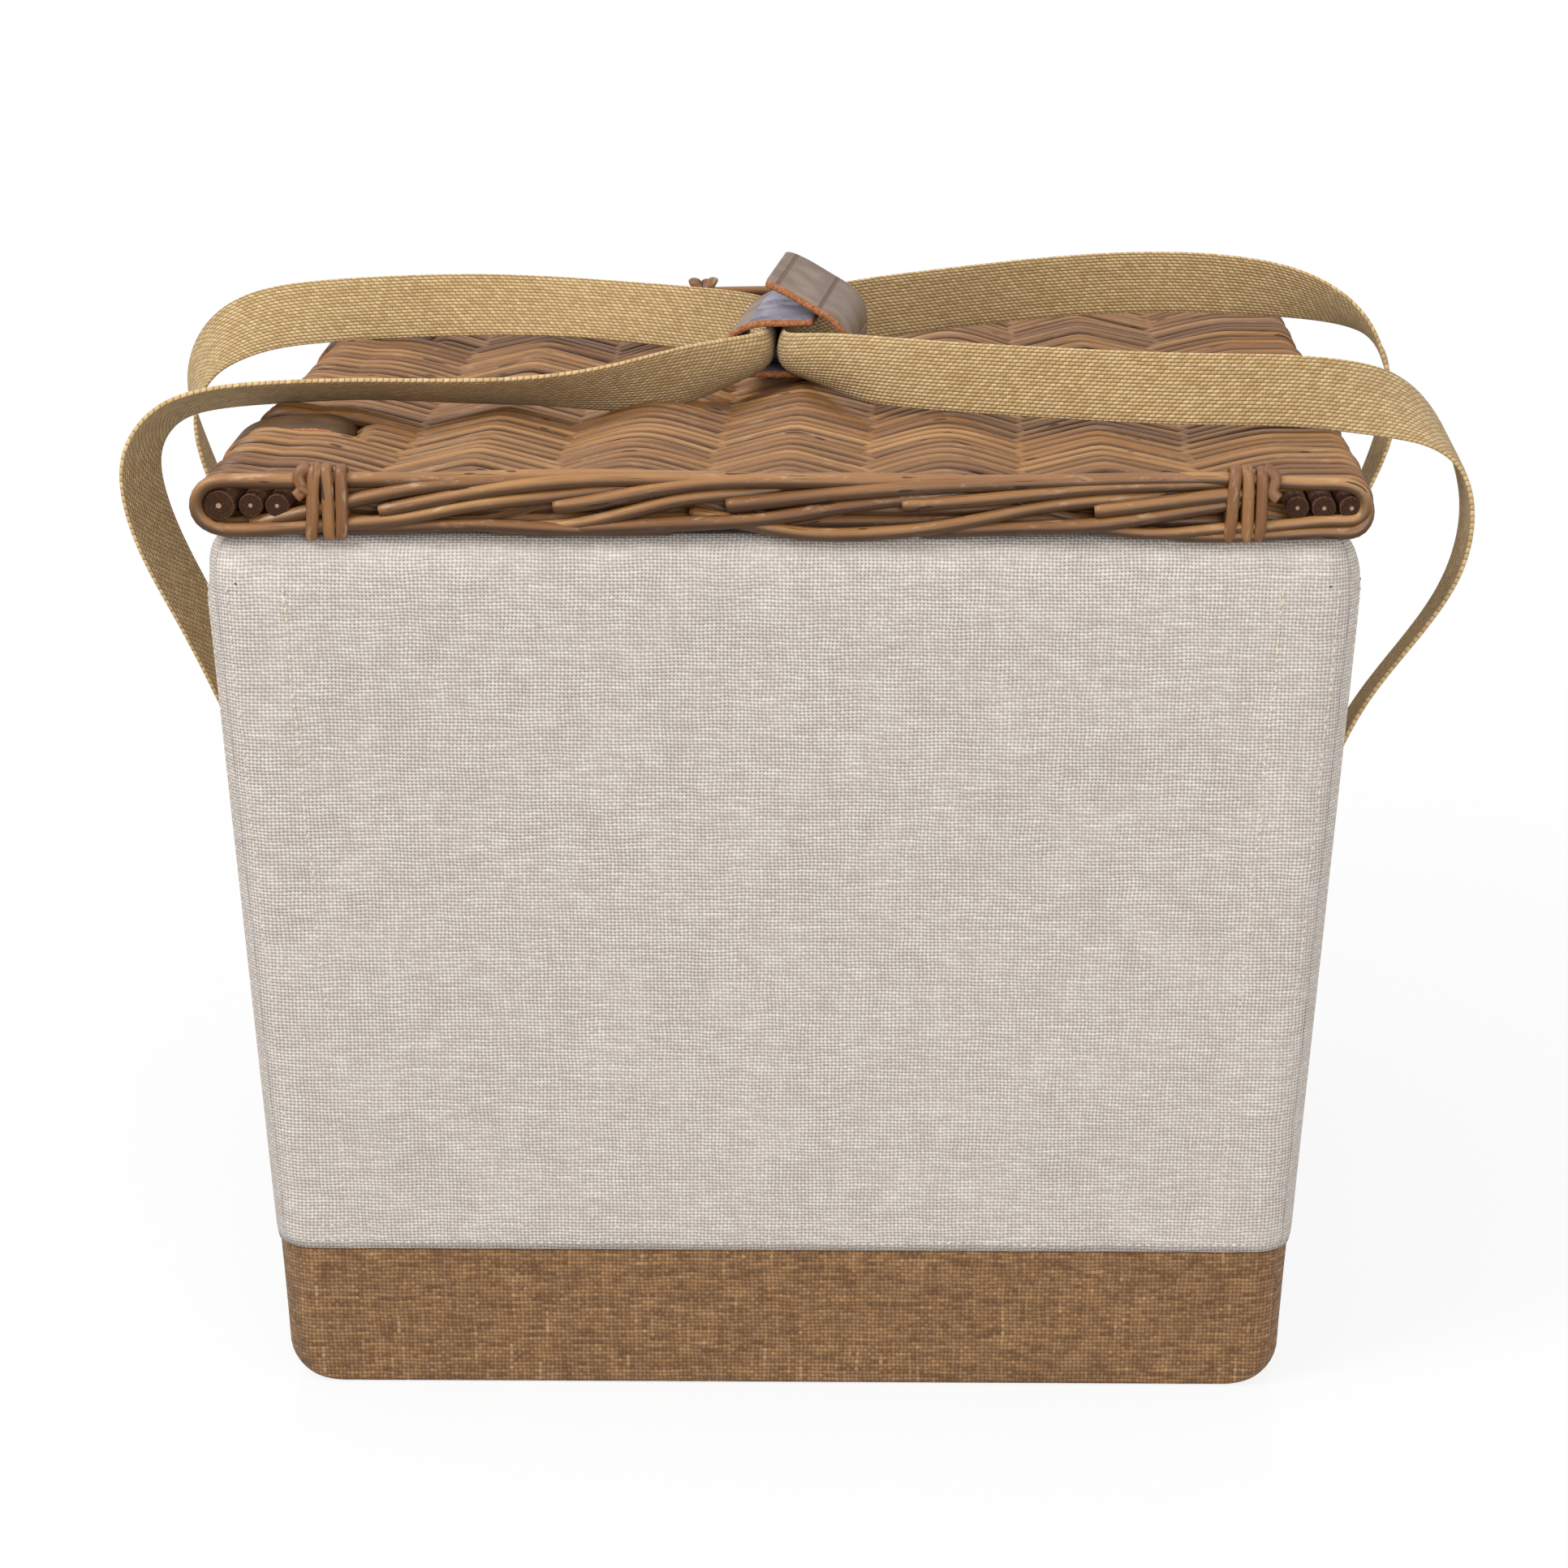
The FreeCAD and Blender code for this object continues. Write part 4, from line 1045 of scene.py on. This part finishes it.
def hingeTab(end):
    # one strip: up the wall, under and round the outer sticks, over the top and down through a slot
    name = "front" if end < 0 else "rear"
    low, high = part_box(f"{name}_hinge_tab")
    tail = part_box(f"{name}_tab_tail")
    y = (low.y + high.y) / 2
    x0 = low.x * 1000
    wallX = (tail[0].x + tail[1].x) / 2 * 1000
    route = [(wallX + 1.0, tail[0].z * 1000 + 1), (wallX, 325), (wallX - 2.0, 340), (x0 - 6.4, 350), (x0 - 6.6, 356.5),
             (x0 - 4.2, 361.4), (x0 + 1.6, 365.6), (x0 + 8.6, 367.6), (x0 + 16.6, 368.8), (x0 + 26.0, 369.2),
             (x0 + 33.0, 368.8), (x0 + 38.0, 367.0), (x0 + 41.0, 363.0), (x0 + 41.0, 358.0), (x0 + 37.0, 354.6),
             (x0 + 28.0, 352.8)]
    p = splineThrough(np.array([(a, b, 0.0) for a, b in route]) * mm, 96)
    centres = np.stack([p[:, 0], np.full(96, y), p[:, 1]], -1)
    shape = ribbon(centres, np.tile([0, 1.0, 0], (96, 1)), high.y - low.y, 2.8 * mm, columns=9)
    return leatherPiece(f"{name}HingeStrap", shape, tabFace, tabFace)


def leatherPiece(name, shape, face, back):
    # coated faces, with the rim of the strip and its ends left raw
    ring, columns = shape["ring"], shape["edgeColumns"]
    quads = shape["quads"]
    column = np.tile(np.arange(ring), len(quads) // ring)
    finish = np.where(column < columns - 1, 0, 1)
    under = (column >= columns + 4) & (column < 2 * columns + 4)
    finish = np.where(under, 2, finish)
    return makePiece(name, shape, [face, rawEdge, back], finish, 1)


for end in (-1, 1):
    tab = hingeTab(end)
    prefix = "front" if end < 0 else "rear"
    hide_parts(f"{prefix}_hinge_tab", f"{prefix}_tab_tail")
    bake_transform(tab)
print("hinge tabs made")

# Webbing handles: centre points in millimetres, then the direction across the strap

leftHandle = [
    (-206.0, -90, 138, 0, 1, 0, 0), (-207.8, -90, 168, 0, 1, 0, 0), (-211.5, -90, 196, 0, 1, 0, 0),
    (-218.5, -89, 226, 0.2, 1, 0, 0), (-228.0, -88, 255, 0.4, 1, 0, 0), (-240.0, -88, 284, 0.5, 1, 0, 0),
    (-252.0, -88, 309, 0.5, 1, 0, 0), (-260.5, -88, 334, 0.45, 1, 0, 0), (-260.5, -88, 354, 0.38, 1, -0.2, 0),
    (-250.0, -88, 368.5, 0.2, 1, -0.4, 0), (-231.0, -88, 375.4, 0.05, 1, -0.5, 0), (-206.0, -88, 378.0, 0, 1, -0.52, 0),
    (-170.0, -88, 379.4, 0, 1, -0.52, 0), (-132.0, -88, 378.8, 0, 1, -0.56, 0), (-102.0, -86, 378.6, 0, 1, -0.62, 0),
    (-74.0, -80, 378.8, 0, 0.8, -0.8, 0), (-50.0, -66, 379.6, -0.1, 0.5, -1.1, -1.5),
    (-30.0, -44, 381.0, -0.35, 0.15, -1.0, -5.5), (-16.5, -24, 382.6, -0.5, 0, -0.87, -8.0),
    (-13.0, 4, 383.2, -0.5, 0, -0.87, -7.5), (-12.0, 36, 383.8, -0.5, 0, -0.9, -5.0),
    (-26.0, 60, 382.6, -0.4, -0.3, -1.3, -2.0), (-52.0, 75, 382.8, 0, -0.6, -1.3, 0), (-90.0, 84, 384.6, 0, -0.7, -1.3, 0),
    (-138.0, 88, 385.6, 0, -0.5, -1.4, 0), (-176.0, 90, 384.2, 0, -0.35, -1.6, 0), (-214.0, 92, 381.4, 0, -0.35, -1.6, 0),
    (-244.0, 95, 375.0, 0.1, -0.5, -1.2, 0), (-263.0, 98, 362.0, 0.2, -0.9, -1.0, 0), (-271.0, 99, 345, 0.25, -1, -0.6, 0),
    (-269.0, 98, 322, 0.12, -1, -0.3, 0), (-257.0, 96, 290, 0, -1, 0, 0), (-240.0, 95, 254, 0, -1, 0, 0),
    (-224.0, 92, 222, 0, -1, 0, 0), (-211.5, 90, 196, 0, -1, 0, 0), (-207.8, 90, 168, 0, -1, 0, 0),
    (-206.0, 90, 138, 0, -1, 0, 0)]
rightHandle = [
    (206.0, -90, 138, 0, 1, 0, 0), (207.8, -90, 168, 0, 1, 0, 0), (211.5, -90, 196, 0, 1, 0, 0),
    (222.0, -92, 224, 0, 1, -0.1, 0), (236.0, -96, 254, 0, 1, -0.2, 0), (254.0, -99, 281, 0, 1, -0.2, 0),
    (269.0, -101, 308, 0, 1, -0.1, 0), (273.0, -102, 334, 0, 1, 0.2, 0), (266.0, -104, 357, -0.2, 1, 0.6, 0),
    (250.0, -109, 373, -0.4, 0.9, 1.2, 0), (226.0, -118, 382, -0.2, 0.5, 1.8, 0), (196.0, -124, 386, 0, 0.25, 2.0, 0),
    (160.0, -126, 387, 0, 0.2, 2.0, 0), (118.0, -117, 387, 0, 0.15, 2.0, 0), (74.0, -97, 386, 0, 0.1, 2.0, 0),
    (38.0, -72, 384.6, -0.1, 0.1, 1.8, -1.5), (16.5, -48, 383.8, -0.4, 0, 1.2, -5.0),
    (5.0, -26, 383.2, -0.5, 0, 0.87, -8.0), (5.0, 2, 383.6, -0.5, 0, 0.87, -7.5), (6.5, 34, 384.6, -0.5, 0, 0.87, -5.0),
    (20.0, 54, 386.4, -0.4, -0.1, 1.4, -2.0), (52.0, 72, 389, 0, -0.2, 2.0, 0), (100.0, 96, 391, 0, -0.2, 2.0, 0),
    (152.0, 108, 393, 0, -0.2, 2.0, 0), (206.0, 110, 391, 0, -0.5, 1.8, 0), (246.0, 112, 381, -0.3, -0.9, 1.0, 0),
    (268.0, 113, 363, -0.3, -1, 0.5, 0), (274.0, 113, 340, 0, -1, 0.1, 0), (266.0, 112, 305, 0, -1, 0, 0),
    (246.0, 106, 264, 0, -1, 0, 0), (226.0, 96, 226, 0, -1, 0, 0), (211.5, 90, 196, 0, -1, 0, 0),
    (207.8, 90, 168, 0, -1, 0, 0), (206.0, 90, 138, 0, -1, 0, 0)]
handleLook = {"width": 28 * mm, "thick": 1.9 * mm, "samples": 420}


def handle(name, stations, body, *nodes):
    # the strap's middle line and its across direction run through the stations together
    p = np.array(stations, float)
    p[:, :3] *= mm
    p[:, 3:6] = unit(p[:, 3:6])
    line = splineThrough(p, handleLook["samples"])
    run = np.concatenate([[0.0], np.cumsum(np.linalg.norm(np.diff(line[:, :3], axis=0), axis=1))])
    loose = np.clip((line[:, 2] - 0.2) / 0.05, 0, 1)
    across = line[:, 3:6] + 0.05 * loose[:, None] * softNoise(run * 30, 0 * run, len(name))[:, None]
    cup = line[:, 6] * mm + 0.7 * mm * loose * softNoise(run * 25, 0 * run, len(name) + 3)
    shape = ribbon(line[:, :3], across, handleLook["width"], handleLook["thick"], cup)
    piece = makePiece(name, shape, [webCloth])
    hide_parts(*nodes)
    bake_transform(piece)
    print(name, "is", round(float(run[-1]), 3), "m long")
    return piece


handle("leftHandleStrap", leftHandle, "left_handle", "left_webbing", "left_front_strap_tail", "left_rear_strap_tail")
handle("rightHandleStrap", rightHandle, "right_handle", "right_webbing", "right_front_strap_tail",
       "right_rear_strap_tail")


def tailStitches(side, end):
    # a sewn box with a cross on each strap end
    sign = 1 if side == "right" else -1
    low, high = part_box(f"{side}_{end}_strap_tail")
    y0, y1, z0, z1 = low.y + 3 * mm, high.y - 3 * mm, low.z + 4 * mm, high.z - 22 * mm
    lines = [((y0, z0), (y1, z0)), ((y1, z0), (y1, z1)), ((y1, z1), (y0, z1)), ((y0, z1), (y0, z0)),
             ((y0, z0), (y1, z1)), ((y0, z1), (y1, z0))]
    starts, finishes = [], []
    for (ya, za), (yb, zb) in lines:
        count = int(math.hypot(yb - ya, zb - za) / (3.2 * mm))
        k = (np.arange(count) + 0.5) / count
        for d, store in ((-0.36 / count, starts), (0.36 / count, finishes)):
            y, z = ya + (yb - ya) * (k + d), za + (zb - za) * (k + d)
            x = 206.0 + (z / mm - 138) * 0.06 + 1.05
            store.append(np.stack([sign * x * mm, y, z], -1))
    starts, finishes = np.concatenate(starts), np.concatenate(finishes)
    away = np.tile([sign * 1.0, 0, 0], (len(starts), 1))
    piece = makePiece(f"{side}{end.title()}StrapStitches", stitches(starts, finishes, away), [webThread])
    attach(piece, "basket")


for sideName in ("left", "right"):
    for endName in ("front", "rear"):
        tailStitches(sideName, endName)
print("handles made")

# Leather wrap: one strip bent round both grips, its free end lifted

wrapRoute = [(10.0, 395.4), (-3.0, 395.2), (-13.6, 394.8), (-20.6, 392.2), (-25.0, 388.4), (-26.8, 383.4), (-26.0, 378.4),
             (-22.4, 375.0), (-14.0, 373.8), (0.0, 373.7), (12.0, 373.9), (19.4, 375.4), (23.2, 379.6), (24.0, 385.0)]
flapRoute = [(24.0, 385.0), (23.6, 389.2), (21.0, 393.6), (16.2, 397.8), (10.0, 401.6), (3.0, 405.8), (-4.6, 409.8),
             (-9.8, 411.8)]
wrapLook = {"thick": 3.0 * mm, "samples": 112, "flapSamples": 50, "shift": 8.5 * mm, "climb": 4.4 * mm, "tip": 4.0 * mm,
            "pressed": (5 * mm, 25 * mm), "bare": 27 * mm}


def leatherStrip(name, route, samples, rounded=False, bare=0.0, pressed=()):
    # the route lies across the grips; towards the rear the strip sits further right and higher;
    # its first bare length shows the flesh side outwards too
    low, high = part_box("handle_wrap")
    p = splineThrough(np.array([(a, b, 0.0) for a, b in route]) * mm, samples)
    run = np.concatenate([[0.0], np.cumsum(np.linalg.norm(np.diff(p, axis=0), axis=1))])
    width = np.full(samples, high.y - low.y)
    if rounded:
        near = np.clip(1 - (run[-1] - run) / wrapLook["tip"], 0, 1)
        width = width - 2 * wrapLook["tip"] * (1 - np.sqrt(1 - near ** 2 * 0.98))
    centres = np.stack([p[:, 0], np.full(samples, (low.y + high.y) / 2), p[:, 1]], -1)
    shape = ribbon(centres, np.tile([0.0, 1.0, 0.0], (samples, 1)), width, wrapLook["thick"], columns=14)
    points = shape["points"]
    share = (points[:, 1] - low.y) / (high.y - low.y)
    points[:, 0] += wrapLook["shift"] * share
    points[:, 2] += wrapLook["climb"] * share * np.clip((points[:, 2] - 0.376) / 0.02, 0, 1)
    face = leatherFace(f"{name}Face", (120, 99, 84), (150, 130, 115), [run[-1] - d for d in pressed])
    ring, columns = shape["ring"], shape["edgeColumns"]
    column = np.tile(np.arange(ring), samples - 1)
    along = np.repeat(run[1:], ring)
    finish = np.where(column < columns - 1, 2, 1)
    outside = (column >= columns + 4) & (column < 2 * columns + 4)
    finish = np.where(outside, np.where(along < bare, 2, 0), finish)
    piece = makePiece(name, shape, [face, rawEdge, rawBack], finish, 1)
    return piece


wrapBody = leatherStrip("leatherWrap", wrapRoute, wrapLook["samples"], bare=wrapLook["bare"])
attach(wrapBody, "left_handle")
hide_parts("handle_wrap")
wrapTip = leatherStrip("leatherFlap", flapRoute, wrapLook["flapSamples"], True, pressed=wrapLook["pressed"])
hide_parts("wrap_flap")
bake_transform(wrapTip)
print("wrap made")

# What stays from the frame gets its own finish


def paint(node, material):
    # the frame's own mesh stays and takes one finish
    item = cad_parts[node]
    item.data.materials.clear()
    item.data.materials.append(material)


for node in ("front_board", "rear_board", "left_board", "right_board"):
    paint(node, boardFace)
paint("rim_wire", wireFace)
bottomPlate("bottomCanvasCloth", "canvas_bottom", [0.4, 1.4], [1.4, 1.4], footCloth)
bottomPlate("baseBoardPanel", "base_board", [1.8, 4.6], [1.6, 1.6], boardFace)
print("bottom and boards made")

# Studio

studio = {"ground": 1.1, "low": 0.44, "high": 0.80, "floor": 0.15, "keyPower": 34.0, "fillPower": 27.0, "topPower": 4.0}


def makeStage():
    # a small pale disc that fades out, so the object stands on a faint mirror image and shadow
    s = Shader("paleFloor")
    x, y, _ = s.split(s.place())
    reach = (x * x + y * y) ** 0.5
    fade = (1 - reach.above(0.25, studio["ground"] - 0.3)) * studio["floor"]
    tone = s.noise(s.place(), 3.0, 2.0)
    floorFace = s.finish(s.mix(tone, (0.90, 0.90, 0.91, 1), (0.93, 0.93, 0.94, 1)), 0.14, Specular_IOR_Level=0.6,
                         Alpha=fade)
    turn = 2 * math.pi * np.arange(64) / 64
    shares = np.linspace(1, 0.05, 8)[:, None] * studio["ground"]
    points = np.stack([shares * np.cos(turn), shares * np.sin(turn), 0 * shares * turn], -1)
    quads, _ = gridQuads(8, 64, True)
    flat = np.concatenate([points.reshape(-1, 3), [[0, 0, 0]]])
    j = np.arange(64)
    tris = np.stack([np.full(64, 512), 448 + j, 448 + (j + 1) % 64], -1)
    floor = makePiece("floor", shapeOf(flat, quads, flat[quads][..., :2], tris, flat[tris][..., :2]), [floorFace])


def areaLight(name, place, aim, size, power):
    # a round lamp turned so that its front looks from its place to its aim
    data = bpy.data.lights.new(name, "AREA")
    data.shape, data.size, data.energy = "DISK", size, power
    lamp = bpy.data.objects.new(name, data)
    bpy.context.scene.collection.objects.link(lamp)
    lamp.location = place
    way = np.array(aim) - np.array(place)
    lean = math.atan2(math.hypot(way[0], way[1]), -way[2])
    lamp.rotation_euler = (lean, 0, math.atan2(way[1], way[0]) - math.pi / 2)


def makeWorld():
    # the lens sees a white room; the object is lit by a softer room, brighter overhead than below
    world = bpy.data.worlds.new("studioWorld")
    bpy.context.scene.world = world
    world.use_nodes = True
    tree = world.node_tree
    tree.nodes.clear()
    kinds = ("ShaderNodeTexCoord", "ShaderNodeSeparateXYZ", "ShaderNodeMapRange", "ShaderNodeBackground",
             "ShaderNodeBackground", "ShaderNodeLightPath", "ShaderNodeMixShader", "ShaderNodeOutputWorld")
    place, split, ramp, lit, seen, ray, blend, out = (tree.nodes.new(k) for k in kinds)
    seen.inputs[0].default_value = lit.inputs[0].default_value = (1, 1, 1, 1)
    ramp.inputs[1].default_value, ramp.inputs[2].default_value = -0.4, 0.7
    ramp.inputs[3].default_value, ramp.inputs[4].default_value = studio["low"], studio["high"]
    for a, b in ((place.outputs["Generated"], split.inputs[0]), (split.outputs[2], ramp.inputs[0]),
                 (ramp.outputs[0], lit.inputs[1]), (ray.outputs["Is Camera Ray"], blend.inputs[0]),
                 (lit.outputs[0], blend.inputs[1]), (seen.outputs[0], blend.inputs[2]), (blend.outputs[0], out.inputs[0])):
        tree.links.new(a, b)


makeStage()
makeWorld()
areaLight("keyLight", (-1.5, -1.2, 1.9), (0, 0, 0.3), 1.1, studio["keyPower"])
areaLight("fillLight", (0.9, -2.6, 0.8), (0, 0, 0.22), 1.5, studio["fillPower"])
areaLight("topLight", (0.1, 0.5, 2.3), (0, 0, 0.2), 1.4, studio["topPower"])
bpy.context.scene.view_settings.view_transform = "Standard"
print("stage made")

lens = bpy.data.cameras.new("camera")
lens.sensor_width, lens.lens = 36.0, 83.39
camera = bpy.data.objects.new("camera", lens)
bpy.context.scene.collection.objects.link(camera)
camera.location = (0.01546, -1.5325, 0.6429)
camera.rotation_euler = Euler((math.radians(90 - 16.53), 0, math.radians(0.65)))
bpy.context.scene.camera = camera
